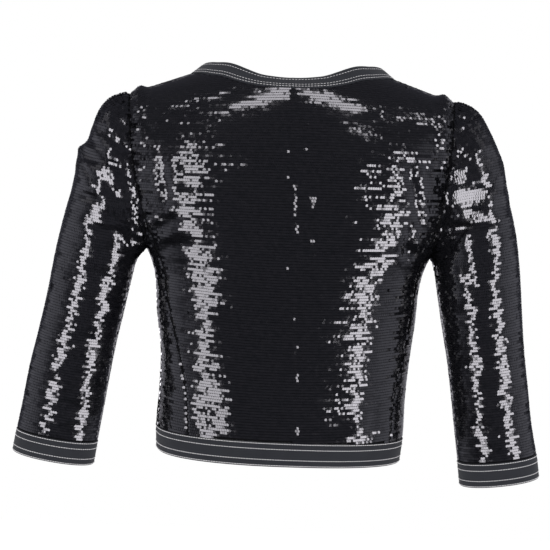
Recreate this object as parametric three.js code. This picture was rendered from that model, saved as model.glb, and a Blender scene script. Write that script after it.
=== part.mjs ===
// A cropped, collarless jacket of sequinned cloth with gathered three-quarter sleeves and topstitched
// bands at neck, front, hem and cuffs, filled out as it is worn, hollow and open at every edge.
// Millimetres. +X is the wearer's left, -Y is the front, +Z is up.
// The origin lies midway between the two shoulder tips, at their height.
import * as THREE from "three";

// ---- Sizes of the cloth ----
const CLOTH = 2; // thickness of the sequinned cloth with its backing
const BAND_CLOTH = 2.6; // thickness of a folded band
const SEAM_GAP = 0.3; // space left between two pieces at a seam
const BAND_PROUD = 0.3; // how far a band stands out past the cloth beside it
const NECK_BAND_WIDTH = 19;
const FRONT_BAND_WIDTH = 20;
const HEM_BAND_WIDTH = 28;

// ---- Sizes of the body ----
const HEM = -422; // height of the lower edge
const BAND_TOP = HEM + HEM_BAND_WIDTH; // where the panels end and the hem band starts
const CHEST_LEVEL = -150; // above this the cloth rounds over towards the shoulder line
const SHOULDER_Y = -4; // the shoulder line and the side seams stand on this plane
const SQUARENESS = 2.35; // power of the rounded sections: 2 is an ellipse
const RIDGE_MIDDLE = 65.3; // height of the shoulder line carried on to the middle of the neck
const RIDGE_FALL = 75.6; // how far it falls from the middle to the full half width
const OPENING_AT_NECK = 2.5; // half the space between the two front edges
const OPENING_AT_HEM = 8;
const TWIST_AT_HEM = THREE.MathUtils.degToRad(12.5); // how far the hem is turned round against the shoulders
const TWIST_GROWTH = 1.15; // power of the turn's growth from the shoulders down

// Sections of the body: half width, and depth behind and in front of the shoulder line.
const BODY = [
  { z: 70, half: 217, back: 105, front: 58 },
  { z: 0, half: 216, back: 103.5, front: 75 },
  { z: -30, half: 211.5, back: 102.5, front: 83 },
  { z: -62, half: 205, back: 101.5, front: 92 },
  { z: -108, half: 194, back: 101, front: 108 },
  { z: -143, half: 183.5, back: 99, front: 118 },
  { z: -165, half: 174.5, back: 97, front: 122 },
  { z: -181, half: 167, back: 95, front: 123.5 },
  { z: -192, half: 162, back: 94, front: 123.5 },
  { z: -206, half: 157.5, back: 92.5, front: 123 },
  { z: -224, half: 154.5, back: 91, front: 121.5 },
  { z: -257, half: 152.5, back: 88.5, front: 116.5 },
  { z: -300, half: 147.5, back: 86.5, front: 109 },
  { z: -345, half: 146, back: 85.5, front: 102.5 },
  { z: -390, half: 147, back: 86, front: 99 },
  { z: -422, half: 145, back: 87, front: 98.5 },
];

// How the worn jacket sits to the right of the middle at each height.
const SWAY = [
  { z: 70, x: 0 },
  { z: 0, x: 0 },
  { z: -100, x: -1.5 },
  { z: -180, x: -3.8 },
  { z: -250, x: -4.3 },
  { z: -300, x: -5.2 },
  { z: -350, x: -3.9 },
  { z: -422, x: -2 },
];
const SHOULDER_TILT = -0.01; // rise of the shoulders per millimetre towards the left
const HEM_TILT = 0.034; // rise of the hem per millimetre towards the left
const SHOULDER_TILT_END = -180; // height at which the shoulders' tilt has died away
const HEM_TILT_START = -230; // height from which the hem's tilt grows

// The armhole: how far out it lies behind and in front, at each height.
const ARMHOLE_TOP = -1;
const ARMHOLE_BOTTOM = -181;
const ARMHOLE = [
  { z: -1, back: 189, front: 189 },
  { z: -13, back: 188.5, front: 187.5 },
  { z: -28, back: 187.5, front: 185 },
  { z: -47, back: 186, front: 181 },
  { z: -68, back: 183.5, front: 176.5 },
  { z: -91, back: 180.5, front: 172 },
  { z: -114, back: 177, front: 168.5 },
  { z: -136, back: 173, front: 166 },
  { z: -155, back: 170, front: 165.5 },
  { z: -169, back: 168.2, front: 166 },
  { z: -181, back: 167, front: 167 },
];

// The rounded ridge that the turned seam edges raise on the body, just inside the top of the armhole.
const RIDGE_LIFT = 5;
const RIDGE_INSIDE = 11; // from the armhole to the crest
const RIDGE_SPREAD = 7;
const RIDGE_END = -78; // height at which it has died away

// The side-back seam, from the hem up into the armhole.
const SIDE_BACK_SEAM = [
  { z: -422, x: 120.5 },
  { z: -390, x: 120.5 },
  { z: -350, x: 122.5 },
  { z: -328, x: 125.5 },
  { z: -265, x: 138 },
  { z: -230, x: 144 },
  { z: -206, x: 147 },
  { z: -181, x: 156 },
  { z: -165, x: 162 },
  { z: -135, x: 171.5 },
  { z: -114, x: 177 },
];

// The neck seam from the centre back to the front edge. side: 1 behind the shoulder line, -1 in front.
// lean: the angle of the band above level, in degrees, as it stands up from the seam towards the neck.
const NECK = [
  { x: 0, z: 12.5, side: 1, lean: 34 },
  { x: 24, z: 12.8, side: 1, lean: 36 },
  { x: 44, z: 14.5, side: 1, lean: 40 },
  { x: 63, z: 18, side: 1, lean: 51 },
  { x: 81, z: 22.8, side: 1, lean: 54 },
  { x: 100, z: 24.9, side: 1, lean: 45 },
  { x: 117.5, z: 24.2, side: 1, lean: 37 },
  { x: 118.8, z: 13, side: -1, lean: 40 },
  { x: 115, z: -7, side: -1, lean: 50 },
  { x: 104.5, z: -27, side: -1, lean: 55 },
  { x: 86, z: -44, side: -1, lean: 60 },
  { x: 60, z: -56, side: -1, lean: 64 },
  { x: 22.5, z: -63, side: -1, lean: 66 },
  { x: 2.5, z: -64, side: -1, lean: 66 },
];
const NECK_RIDGE_ROW = 6; // the row on the shoulder line
const NECK_PANEL_ROW = 12; // the row where the front panel ends and the front band starts

// Rings of a sleeve, from the armhole to the wrist. Each is a rounded loop from an outer point to an
// inner one: how far out the outer point lies on either arm, depths behind and in front of its middle,
// and where that middle lies from front to back. The first row is the armhole itself.
const SLEEVE = [
  { outerZ: -1, left: 189, right: 189, innerZ: -181, inner: 167, back: 47, front: 62, middle: -4 },
  { outerZ: -3, left: 201, right: 202, innerZ: -182.5, inner: 167.3, back: 49, front: 62, middle: -4 },
  { outerZ: -7, left: 211, right: 212, innerZ: -184, inner: 168.3, back: 51, front: 62, middle: -4 },
  { outerZ: -13.5, left: 218.5, right: 220.5, innerZ: -186, inner: 169.6, back: 52, front: 62, middle: -4 },
  { outerZ: -25, left: 226, right: 229, innerZ: -188, inner: 171.5, back: 52.5, front: 62, middle: -4 },
  { outerZ: -42, left: 232, right: 238.5, innerZ: -190.5, inner: 172.7, back: 52.5, front: 61.5, middle: -4 },
  { outerZ: -62, left: 239, right: 248, innerZ: -193.5, inner: 174, back: 52.5, front: 61, middle: -4 },
  { outerZ: -70, left: 248.5, right: 251, innerZ: -195, inner: 174.6, back: 53, front: 60.5, middle: -4 },
  { outerZ: -92, left: 249.5, right: 255.5, innerZ: -199, inner: 175.8, back: 52.5, front: 60, middle: -4 },
  { outerZ: -117, left: 254, right: 261.5, innerZ: -205, inner: 177.3, back: 52, front: 58.5, middle: -4 },
  { outerZ: -149, left: 262, right: 269.5, innerZ: -215, inner: 179.2, back: 51, front: 57, middle: -4 },
  { outerZ: -189, left: 270.5, right: 276, innerZ: -233, inner: 182.8, back: 49.5, front: 54.5, middle: -5 },
  { outerZ: -234, left: 278, right: 281, innerZ: -262, inner: 188.5, back: 46.5, front: 50.5, middle: -7 },
  { outerZ: -281, left: 287.5, right: 286.5, innerZ: -300, inner: 196.5, back: 43, front: 46.5, middle: -10 },
  { outerZ: -327, left: 298, right: 294, innerZ: -341, inner: 203.5, back: 40.5, front: 43.5, middle: -14 },
  { outerZ: -369, left: 305.5, right: 301, innerZ: -381, inner: 209.8, back: 39, front: 41.5, middle: -19 },
  { outerZ: -406, left: 312.5, right: 309.5, innerZ: -419, inner: 216, back: 38.5, front: 41, middle: -24 },
  { outerZ: -434, left: 317.5, right: 314.5, innerZ: -448, inner: 220.5, back: 38.5, front: 41, middle: -28 },
];
const CUFF_ROW = 16; // the ring where the sleeve ends and its cuff band starts
const SLEEVE_SQUARENESS = 2.1;
const FREE_RING = 12; // from this ring on, a sleeve no longer follows the body's twist
const RIGHT_SLEEVE_LOWER = 8; // how much lower the right sleeve ends

// ---- How finely the cloth is faceted ----
const ARM_STEPS = 24; // round a sleeve and its armhole
const UNDERARM_STEP = ARM_STEPS / 2;
const SEAM_STEP = 7; // step of the armhole, counted from its top, where the side-back seam enters
const LONG_ROWS = 9; // from the hem band up to the side-back seam's end, and up a side seam
const SHOULDER_COLUMNS = 4;
const BAND_ROWS = 2; // across a band

const sequinned = new THREE.MeshStandardMaterial({ color: 0x17181b, roughness: 0.25, metalness: 0.35 });
const twill = new THREE.MeshStandardMaterial({ color: 0x303236, roughness: 0.85, metalness: 0 });

const jacket = new THREE.Group();
const UP = new THREE.Vector3(0, 0, 1);

// ---- Reading a table ----

// One column of a table at a place along its key column: a smooth cubic through the rows.
function read(table, key, column, at) {
  const rising = table[1][key] > table[0][key];
  const after = table.findIndex((row) => (rising ? row[key] >= at : row[key] <= at));
  const i = after < 0 ? table.length - 1 : Math.max(after, 1);
  const slope = (a, b) => (table[b][column] - table[a][column]) / (table[b][key] - table[a][key]);
  const slopeAt = (n) => slope(Math.max(n - 1, 0), Math.min(n + 1, table.length - 1));
  const span = table[i][key] - table[i - 1][key];
  const t = THREE.MathUtils.clamp((at - table[i - 1][key]) / span, 0, 1);
  const fromStart = table[i - 1][column] * (1 + 2 * t) + slopeAt(i - 1) * span * t;
  const fromEnd = table[i][column] * (3 - 2 * t) - slopeAt(i) * span * (1 - t);
  return fromStart * (1 - t) ** 2 + fromEnd * t ** 2;
}

const { lerp: mix } = THREE.MathUtils;
const signedPower = (value, power) => Math.sign(value) * Math.abs(value) ** power;

// ---- The body's surface ----
// A place on it is a pair (x: turn, y: down). turn runs from 0 on the centre line to 1 at the left side
// and -1 at the right. down is 0 on the shoulder line, 1 at chest level behind and 2 at the hem behind,
// and -1 and -2 at the same levels in front.

const place = (turn, down) => new THREE.Vector2(turn, down);
const ridgeHeight = (share) => RIDGE_MIDDLE - RIDGE_FALL * share;
const halfWidthAt = (z) => read(BODY, "z", "half", z);
const depthAt = (z, side) => read(BODY, "z", side < 0 ? "front" : "back", z);
const armholeAt = (z, side) => read(ARMHOLE, "z", side < 0 ? "front" : "back", z);

// How far the turned seam edges lift the cloth at a place near the top of the armhole.
function ridgeLift(x, z, side) {
  const inside = armholeAt(Math.min(z, ARMHOLE_TOP), side) - Math.abs(x);
  const fade = THREE.MathUtils.smoothstep(z, RIDGE_END, ARMHOLE_TOP);
  return RIDGE_LIFT * fade * Math.exp(-(((inside - RIDGE_INSIDE) / RIDGE_SPREAD) ** 2));
}

function bodyPoint({ x: turn, y: down }) {
  const out = signedPower(Math.sin((turn * Math.PI) / 2), 2 / SQUARENESS);
  const deep = signedPower(Math.cos((turn * Math.PI) / 2), 2 / SQUARENESS);
  const fall = (Math.min(Math.abs(down), 1) * Math.PI) / 2;
  const below = Math.max(Math.abs(down) - 1, 0) * (CHEST_LEVEL - HEM);
  const z = CHEST_LEVEL + (ridgeHeight(Math.abs(out)) - CHEST_LEVEL) * Math.cos(fall) - below;
  const side = Math.sign(down) * (deep < 0 ? -1 : 1);
  const x = halfWidthAt(z) * out;
  const y = SHOULDER_Y + side * depthAt(z, side) * Math.abs(deep) * Math.sin(fall);
  const lift = ridgeLift(x, z, side);
  return new THREE.Vector3(x, y + side * lift * Math.sin(fall), z + lift * Math.cos(fall));
}

// The place that lies x out from the middle at height z, behind or in front.
function bodyPlace(x, z, side) {
  const share = Math.min(x / halfWidthAt(z), 1);
  const turn = Math.asin(share ** (SQUARENESS / 2)) / (Math.PI / 2);
  const rise = (z - CHEST_LEVEL) / (ridgeHeight(share) - CHEST_LEVEL);
  const down =
    z < CHEST_LEVEL
      ? 1 + (CHEST_LEVEL - z) / (CHEST_LEVEL - HEM)
      : Math.acos(Math.min(rise, 1)) / (Math.PI / 2);
  return place(turn, side * down);
}

// Sets a point as the jacket is worn: turned about the upright axis, not at the shoulders but fully at
// the hem, moved to the right of the middle, and tilted at shoulders and hem. share says how much of this.
function worn(point, share = 1) {
  const angle = TWIST_AT_HEM * (Math.max(-point.z, 0) / -HEM) ** TWIST_GROWTH;
  const tilt =
    SHOULDER_TILT * THREE.MathUtils.smoothstep(point.z, SHOULDER_TILT_END, 0) +
    HEM_TILT * THREE.MathUtils.smoothstep(-point.z, -HEM_TILT_START, -HEM);
  const moved = new THREE.Vector3(read(SWAY, "z", "x", point.z), 0, tilt * point.x);
  return point.applyAxisAngle(UP, angle * share).addScaledVector(moved, share);
}

const wornPoint = (at) => worn(bodyPoint(at));

// The outward direction of the cloth at a place, from points a little to each side of it.
function wornNormal({ x: turn, y: down }) {
  const STEP = 0.01;
  const across = wornPoint(place(turn + STEP, down)).sub(wornPoint(place(turn - STEP, down)));
  const downwards = wornPoint(place(turn, down + STEP)).sub(wornPoint(place(turn, down - STEP)));
  return across.cross(downwards).normalize();
}

// ---- Edges of the left-hand panels, as lists of places ----

const fractions = (count) => Array.from({ length: count + 1 }, (_, i) => i / count);
const between = (from, to, count) => fractions(count).map((t) => from.clone().lerp(to, t));

// Places up a line, from one height to another, where xAt gives how far out it lies at each height.
const upright = (xAt, from, to, side, count) =>
  fractions(count).map((t) => bodyPlace(xAt(mix(from, to, t)), mix(from, to, t), side));

const openingAt = (z) => THREE.MathUtils.mapLinear(z, NECK.at(-1).z, HEM, OPENING_AT_NECK, OPENING_AT_HEM);
const bandEdgeAt = (z) => openingAt(z) + FRONT_BAND_WIDTH;
const sideBackAt = (z) => read(SIDE_BACK_SEAM, "z", "x", z);
const centreAt = () => 0;

// The armhole from its top down the back, under the arm and up the front to its top again.
const armholeHeight = (step) =>
  mix(ARMHOLE_BOTTOM, ARMHOLE_TOP, (1 + Math.cos((step / ARM_STEPS) * 2 * Math.PI)) / 2);
const armhole = Array.from({ length: ARM_STEPS + 1 }, (_, step) => {
  const side = step <= UNDERARM_STEP ? 1 : -1;
  return bodyPlace(armholeAt(armholeHeight(step), side), armholeHeight(step), side);
});

const neck = NECK.map((row) => bodyPlace(row.x, row.z, row.side));
neck[NECK_RIDGE_ROW].y = 0;
armhole[0].y = 0;
armhole[ARM_STEPS].y = 0;
const shoulder = between(neck[NECK_RIDGE_ROW], armhole[0], SHOULDER_COLUMNS);

const seamTop = armholeHeight(SEAM_STEP);
const sideBackSeam = upright(sideBackAt, BAND_TOP, seamTop, 1, LONG_ROWS);
sideBackSeam[LONG_ROWS] = armhole[SEAM_STEP];
const sideSeam = (side) =>
  upright(halfWidthAt, BAND_TOP, ARMHOLE_BOTTOM, side, LONG_ROWS).map((at) => place(1, at.y));

// ---- Panels of the body ----

// The places inside four edges: drawn from the two edges beside each, less the corners counted twice.
function patch({ bottom, top, left, right }) {
  const columns = bottom.length - 1;
  const rows = left.length - 1;
  return left.map((_, j) =>
    bottom.map((_, i) => {
      const sides = left[j].clone().lerp(right[j], i / columns);
      const ends = bottom[i].clone().lerp(top[i], j / rows);
      const low = bottom[0].clone().lerp(bottom[columns], i / columns);
      const high = top[0].clone().lerp(top[columns], i / columns);
      return sides.add(ends).sub(low.lerp(high, j / rows));
    }),
  );
}

const backRight = [...sideBackSeam, ...armhole.slice(0, SEAM_STEP).reverse()];
const backPanel = patch({
  left: [
    ...upright(centreAt, BAND_TOP, seamTop, 1, LONG_ROWS),
    ...between(bodyPlace(0, seamTop, 1), neck[0], SEAM_STEP).slice(1),
  ],
  right: backRight,
  top: [...neck.slice(0, NECK_RIDGE_ROW), ...shoulder],
  bottom: between(bodyPlace(0, BAND_TOP, 1), sideBackSeam[0], NECK_RIDGE_ROW + SHOULDER_COLUMNS),
});

const sideBackPanel = patch({
  left: sideBackSeam,
  right: sideSeam(1),
  top: armhole.slice(SEAM_STEP, UNDERARM_STEP + 1),
  bottom: between(sideBackSeam[0], sideSeam(1)[0], UNDERARM_STEP - SEAM_STEP),
});

const frontEdge = [
  ...upright(bandEdgeAt, BAND_TOP, ARMHOLE_BOTTOM, -1, LONG_ROWS),
  ...upright(bandEdgeAt, ARMHOLE_BOTTOM, NECK[NECK_PANEL_ROW].z, -1, UNDERARM_STEP).slice(1),
];
const frontPanel = patch({
  left: frontEdge,
  right: [...sideSeam(-1), ...armhole.slice(UNDERARM_STEP + 1)],
  top: [...neck.slice(NECK_RIDGE_ROW + 1, NECK_PANEL_ROW + 1).reverse(), ...shoulder],
  bottom: between(frontEdge[0], sideSeam(-1)[0], NECK_RIDGE_ROW + SHOULDER_COLUMNS),
});

// A strip of places along the front edge, from the hem to the neck, and one round the hem.
const frontStrip = [
  ...upright(bandEdgeAt, HEM, BAND_TOP, -1, BAND_ROWS).slice(0, -1),
  ...frontEdge,
].map((edge, j, all) => {
  const z = bodyPoint(edge).z;
  const last = j === all.length - 1;
  return between(last ? neck.at(-1) : bodyPlace(openingAt(z), z, -1), edge, BAND_ROWS);
});

const hemRow = (z) => {
  const frontSide = bodyPlace(halfWidthAt(z), z, -1);
  const backSide = bodyPlace(halfWidthAt(z), z, 1);
  const seam = bodyPlace(sideBackAt(z), z, 1);
  return [
    ...between(bodyPlace(bandEdgeAt(z), z, -1), frontSide, frontPanel[0].length - 1),
    ...between(backSide, seam, sideBackPanel[0].length - 1).slice(1),
    ...between(seam, bodyPlace(0, z, 1), backPanel[0].length - 1).slice(1),
  ];
};
const mirrored = (row) => row.map((at) => place(-at.x, at.y));
const hemStrip = fractions(BAND_ROWS).map((t) => {
  const half = hemRow(mix(HEM, BAND_TOP, t));
  return [...half, ...mirrored(half).reverse().slice(1)];
});

// ---- Sleeves ----

// The points of one ring of a sleeve, from its outer side down the back, the inner side and the front.
function sleeveRing(row, ringNumber, arm) {
  const share = 1 - THREE.MathUtils.smoothstep(ringNumber, 0, FREE_RING);
  return Array.from({ length: ARM_STEPS }, (_, step) => {
    if (ringNumber === 0) return wornPoint(place(arm * armhole[step].x, armhole[step].y));
    const angle = (step / ARM_STEPS) * 2 * Math.PI;
    const outwards = (1 + signedPower(Math.cos(angle), 2 / SLEEVE_SQUARENESS)) / 2;
    const backwards = signedPower(Math.sin(angle), 2 / SLEEVE_SQUARENESS);
    const x = mix(row.inner, arm > 0 ? row.left : row.right, outwards);
    const y = row.middle + backwards * (backwards > 0 ? row.back : row.front);
    const lower = arm < 0 ? RIGHT_SLEEVE_LOWER * (ringNumber / (SLEEVE.length - 1)) ** 2 : 0;
    const z = mix(row.innerZ, row.outerZ, outwards) - lower;
    return worn(new THREE.Vector3(arm * x, y, z), share);
  });
}

const sleeveRings = (arm) => SLEEVE.map((row, ringNumber) => sleeveRing(row, ringNumber, arm));

// ---- Seams that two cloths share at an angle ----

const square = (direction, along) =>
  direction.clone().addScaledVector(along, -direction.dot(along)).normalize();

// The frame of such a seam: `across` leads from the first cloth to the second, and `out` halves the
// angle between their outer faces, so both walls end on the plane that it lies in.
function seamFrame(along, first, second, normal) {
  const across = square(second, along).sub(square(first, along)).normalize();
  const out = across.clone().cross(along).normalize();
  return { across, out: out.dot(normal) < 0 ? out.negate() : out };
}

function armholeFrames(arm, rings) {
  return rings[0].map((point, step) => {
    const next = rings[0][(step + 1) % ARM_STEPS];
    const before = rings[0][(step + ARM_STEPS - 1) % ARM_STEPS];
    const along = next.clone().sub(before).normalize();
    const normal = wornNormal(place(arm * armhole[step].x, armhole[step].y));
    const intoBody = normal.clone().cross(along).multiplyScalar(arm);
    return seamFrame(along, intoBody, rings[1][step].clone().sub(point), normal);
  });
}

// The neck seam from the right front edge round the back to the left one. Each entry holds its place,
// its point, the direction in which the band stands and the frame that body and band share.
const neckSeam = [...mirrored(neck).reverse(), ...neck.slice(1)].map((at, n, all) => {
  const row = NECK[Math.abs(n - (NECK.length - 1))];
  const point = wornPoint(at);
  const ahead = wornPoint(all[Math.min(n + 1, all.length - 1)]);
  const along = ahead.sub(wornPoint(all[Math.max(n - 1, 0)])).normalize();
  const lean = THREE.MathUtils.degToRad(row.lean);
  const inwards = along.clone().cross(UP).normalize().multiplyScalar(Math.cos(lean));
  const stand = square(inwards.addScaledVector(UP, Math.sin(lean)), along);
  const normal = wornNormal(at);
  return { point, stand, frame: seamFrame(along, normal.clone().cross(along), stand, normal) };
});
const neckFrame = (row, arm) => neckSeam[NECK.length - 1 + arm * row].frame;

// ---- Cloth walls ----

// The volume inside a closed mesh, negative where its faces point inwards.
function enclosedVolume(positions, triangles) {
  const corner = (n) => new THREE.Vector3().fromArray(positions, 3 * triangles[n]);
  let volume = 0;
  for (let n = 0; n < triangles.length; n += 3)
    volume += corner(n).dot(corner(n + 1).cross(corner(n + 2))) / 6;
  return volume;
}

// A closed wall from rows of { outer, inner } points. A ring of cloth joins its last column to its first.
function wallGeometry(rows, ring) {
  const columns = rows[0].length;
  const spans = ring ? columns : columns - 1;
  const lastRow = rows.length - 1;
  const outer = (j, i) => 2 * (j * columns + (i % columns));
  const inner = (j, i) => outer(j, i) + 1;
  const corners = rows.flat().flatMap((pair) => [pair.outer, pair.inner]);
  const triangles = [];
  // Each four-sided facet is split along its shorter diagonal, so facets that face each other match.
  const quad = (a, b, c, d) => {
    const first = corners[a].distanceTo(corners[c]) <= corners[b].distanceTo(corners[d]);
    triangles.push(...(first ? [a, b, c, a, c, d] : [b, c, d, b, d, a]));
  };
  for (let i = 0; i < spans; i++) {
    for (let j = 0; j < lastRow; j++) {
      quad(outer(j, i), outer(j, i + 1), outer(j + 1, i + 1), outer(j + 1, i));
      quad(inner(j, i), inner(j + 1, i), inner(j + 1, i + 1), inner(j, i + 1));
    }
    quad(inner(0, i), inner(0, i + 1), outer(0, i + 1), outer(0, i));
    quad(outer(lastRow, i), outer(lastRow, i + 1), inner(lastRow, i + 1), inner(lastRow, i));
  }
  for (let j = 0; j < lastRow && !ring; j++) {
    quad(outer(j, 0), outer(j + 1, 0), inner(j + 1, 0), inner(j, 0));
    quad(inner(j, spans), inner(j + 1, spans), outer(j + 1, spans), outer(j, spans));
  }
  const positions = corners.flatMap((corner) => [...corner]);
  if (enclosedVolume(positions, triangles) < 0) triangles.reverse();
  const geometry = new THREE.BufferGeometry();
  geometry.setAttribute("position", new THREE.Float32BufferAttribute(positions, 3));
  geometry.setIndex(triangles);
  geometry.computeVertexNormals();
  return geometry;
}

function addPiece(name, material, rows, ring = false) {
  const mesh = new THREE.Mesh(wallGeometry(rows, ring), material);
  mesh.name = name;
  jacket.add(mesh);
}

// The direction, square to an edge, that leads from it to the cloth beside it.
function inwardsFrom(edge, before, after, neighbour) {
  return square(neighbour.clone().sub(edge), after.clone().sub(before).normalize());
}

// A wall over a grid of places on the body. Its border steps back by half a seam gap. frameAt names the
// seam frame of a border point where the wall meets another at an angle, and `instead` says which
// border's plain step it replaces.
function bodyWall(places, thickness, frameAt = () => ({}), proud = 0) {
  const points = places.map((row) => row.map(wornPoint));
  const lastRow = points.length - 1;
  const lastColumn = points[0].length - 1;
  const at = (j, i) =>
    points[THREE.MathUtils.clamp(j, 0, lastRow)][THREE.MathUtils.clamp(i, 0, lastColumn)];
  return places.map((row, j) =>
    row.map((where, i) => {
      const { frame, instead } = frameAt(j, i);
      const normal = wornNormal(where);
      const outer = at(j, i).clone().addScaledVector(normal, proud);
      const stepBack = (direction) => outer.addScaledVector(direction, SEAM_GAP / 2);
      const edges = [
        { on: i === 0, kind: "column", neighbour: at(j, 1) },
        { on: i === lastColumn, kind: "column", neighbour: at(j, i - 1) },
        { on: j === 0, kind: "row", neighbour: at(1, i) },
        { on: j === lastRow, kind: "row", neighbour: at(j - 1, i) },
      ];
      for (const { on, kind, neighbour } of edges) {
        if (!on || kind === instead) continue;
        const [before, after] = kind === "row" ? [at(j, i - 1), at(j, i + 1)] : [at(j - 1, i), at(j + 1, i)];
        stepBack(inwardsFrom(at(j, i), before, after, neighbour));
      }
      if (frame) stepBack(frame.across.clone().negate());
      return { outer, inner: outer.clone().addScaledVector(frame ? frame.out : normal, -thickness) };
    }),
  );
}

// A wall over rings of points, with outward normals worked out from its neighbours. The first ring may
// end on the armhole's seam frames; every other end steps back by half a seam gap.
function tubeWall(rings, thickness, arm, frames, proud = 0) {
  const last = rings.length - 1;
  return rings.map((ring, n) =>
    ring.map((point, step) => {
      const around = ring[(step + 1) % ARM_STEPS].clone().sub(ring[(step + ARM_STEPS - 1) % ARM_STEPS]);
      const along = rings[Math.min(n + 1, last)][step].clone().sub(rings[Math.max(n - 1, 0)][step]);
      const normal = along.clone().cross(around).multiplyScalar(arm).normalize();
      const frame = n === 0 && frames ? frames[step] : null;
      const outer = point.clone().addScaledVector(normal, proud);
      along.normalize();
      if (frame) outer.addScaledVector(frame.across, SEAM_GAP / 2);
      else if (n === 0) outer.addScaledVector(along, SEAM_GAP / 2);
      else if (n === last) outer.addScaledVector(along, -SEAM_GAP / 2);
      return { outer, inner: outer.clone().addScaledVector(frame ? frame.out : normal, -thickness) };
    }),
  );
}

// ---- The jacket ----

for (const [name, arm] of [["left", 1], ["right", -1]]) {
  const handed = (places) => (arm > 0 ? places : places.map(mirrored));
  const rings = sleeveRings(arm);
  const frames = armholeFrames(arm, rings);

  // Where a panel's last column follows the armhole, and where its last row follows the neck.
  const lastColumn = NECK_RIDGE_ROW + SHOULDER_COLUMNS;
  const panelFrame = (rows, neckRow, armStep) => (j, i) => {
    if (i === lastColumn && j >= LONG_ROWS)
      return { frame: frames[armStep(j)], instead: j > LONG_ROWS ? "column" : "" };
    if (j === rows && i <= NECK_RIDGE_ROW)
      return { frame: neckFrame(neckRow(i), arm), instead: i < NECK_RIDGE_ROW ? "row" : "" };
    return {};
  };
  const backFrame = panelFrame(LONG_ROWS + SEAM_STEP, (i) => i, (j) => LONG_ROWS + SEAM_STEP - j);
  const frontFrame = panelFrame(
    LONG_ROWS + UNDERARM_STEP,
    (i) => NECK_PANEL_ROW - i,
    (j) => (j - LONG_ROWS + UNDERARM_STEP) % ARM_STEPS,
  );
  const sideBackFrame = (j, i) => (j === LONG_ROWS ? { frame: frames[SEAM_STEP + i], instead: "row" } : {});
  const bandFrame = (j, i) => {
    if (j < frontStrip.length - 1) return {};
    return { frame: neckFrame(i < BAND_ROWS ? NECK.length - 1 : NECK_PANEL_ROW, arm), instead: "row" };
  };

  addPiece(`back_${name}`, sequinned, bodyWall(handed(backPanel), CLOTH, backFrame));
  addPiece(`side_back_${name}`, sequinned, bodyWall(handed(sideBackPanel), CLOTH, sideBackFrame));
  addPiece(`front_${name}`, sequinned, bodyWall(handed(frontPanel), CLOTH, frontFrame));
  addPiece(`front_band_${name}`, twill, bodyWall(handed(frontStrip), BAND_CLOTH, bandFrame, BAND_PROUD));

  addPiece(`sleeve_${name}`, sequinned, tubeWall(rings.slice(0, CUFF_ROW + 1), CLOTH, arm, frames), true);
  const cuffRings = fractions(BAND_ROWS).map((t) =>
    rings[CUFF_ROW].map((point, step) => point.clone().lerp(rings[CUFF_ROW + 1][step], t)),
  );
  addPiece(`cuff_band_${name}`, twill, tubeWall(cuffRings, BAND_CLOTH, arm, null, BAND_PROUD), true);
}

addPiece("hem_band", twill, bodyWall(hemStrip, BAND_CLOTH, undefined, BAND_PROUD));

const neckRows = fractions(BAND_ROWS).map((t) =>
  neckSeam.map(({ point, stand, frame }) => {
    const outer = point.clone().addScaledVector(frame.across, SEAM_GAP / 2);
    outer.addScaledVector(stand, t * NECK_BAND_WIDTH);
    return { outer, inner: outer.clone().addScaledVector(frame.out, -BAND_CLOTH) };
  }),
);
addPiece("neck_band", twill, neckRows);

export default jacket;
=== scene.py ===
import math

import bpy
import numpy as np
from mathutils import Matrix, Vector

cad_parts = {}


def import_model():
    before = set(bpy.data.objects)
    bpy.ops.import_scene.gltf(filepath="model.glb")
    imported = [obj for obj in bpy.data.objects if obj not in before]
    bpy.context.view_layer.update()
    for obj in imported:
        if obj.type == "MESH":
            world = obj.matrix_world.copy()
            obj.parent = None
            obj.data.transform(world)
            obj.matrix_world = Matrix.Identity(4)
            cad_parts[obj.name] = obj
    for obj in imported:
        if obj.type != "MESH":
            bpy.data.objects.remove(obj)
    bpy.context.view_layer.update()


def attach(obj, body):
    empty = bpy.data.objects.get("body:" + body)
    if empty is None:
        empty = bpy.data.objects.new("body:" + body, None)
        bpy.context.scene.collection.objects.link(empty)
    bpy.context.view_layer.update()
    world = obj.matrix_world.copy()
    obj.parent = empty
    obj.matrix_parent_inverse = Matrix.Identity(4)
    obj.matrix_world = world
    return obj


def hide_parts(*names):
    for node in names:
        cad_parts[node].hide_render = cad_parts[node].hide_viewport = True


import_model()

MM = 0.001
draw = np.random.default_rng(41)

# ---- The jacket's own sizes, in millimetres ----
# +X is the wearer's left, -Y the front, +Z up, and the origin lies midway between the shoulder tips.

HEM, HEM_BAND = -422.0, 28.0
BAND_TOP = HEM + HEM_BAND
CHEST = -150.0
SHOULDER_Y = -4.0
SQUARENESS = 2.35
RIDGE_MIDDLE, RIDGE_FALL = 65.3, 75.6
NECK_BAND, FRONT_BAND = 19.0, 20.0
SEAM_GAP = 0.3  # between a band and the panels next to it
OPENING = ((-422, 8.0), (-64, 2.5))  # z, half the space between the front edges
TWIST, TWIST_GROWTH = math.radians(12.5), 1.15
SHOULDER_TILT, SHOULDER_TILT_END = -0.01, -180.0
HEM_TILT, HEM_TILT_START = 0.034, -230.0
ARM_TOP, ARM_BOTTOM = -1.0, -181.0
ARM_STEPS, SEAM_STEP, UNDERARM = 24, 7, 12  # steps round an armhole, to the side-back seam, to the underarm
ARM_ANGLE = 2 * math.pi / ARM_STEPS
RIDGE_LIFT, RIDGE_INSIDE, RIDGE_SPREAD, RIDGE_END = 5.0, 11.0, 7.0, -78.0

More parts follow.
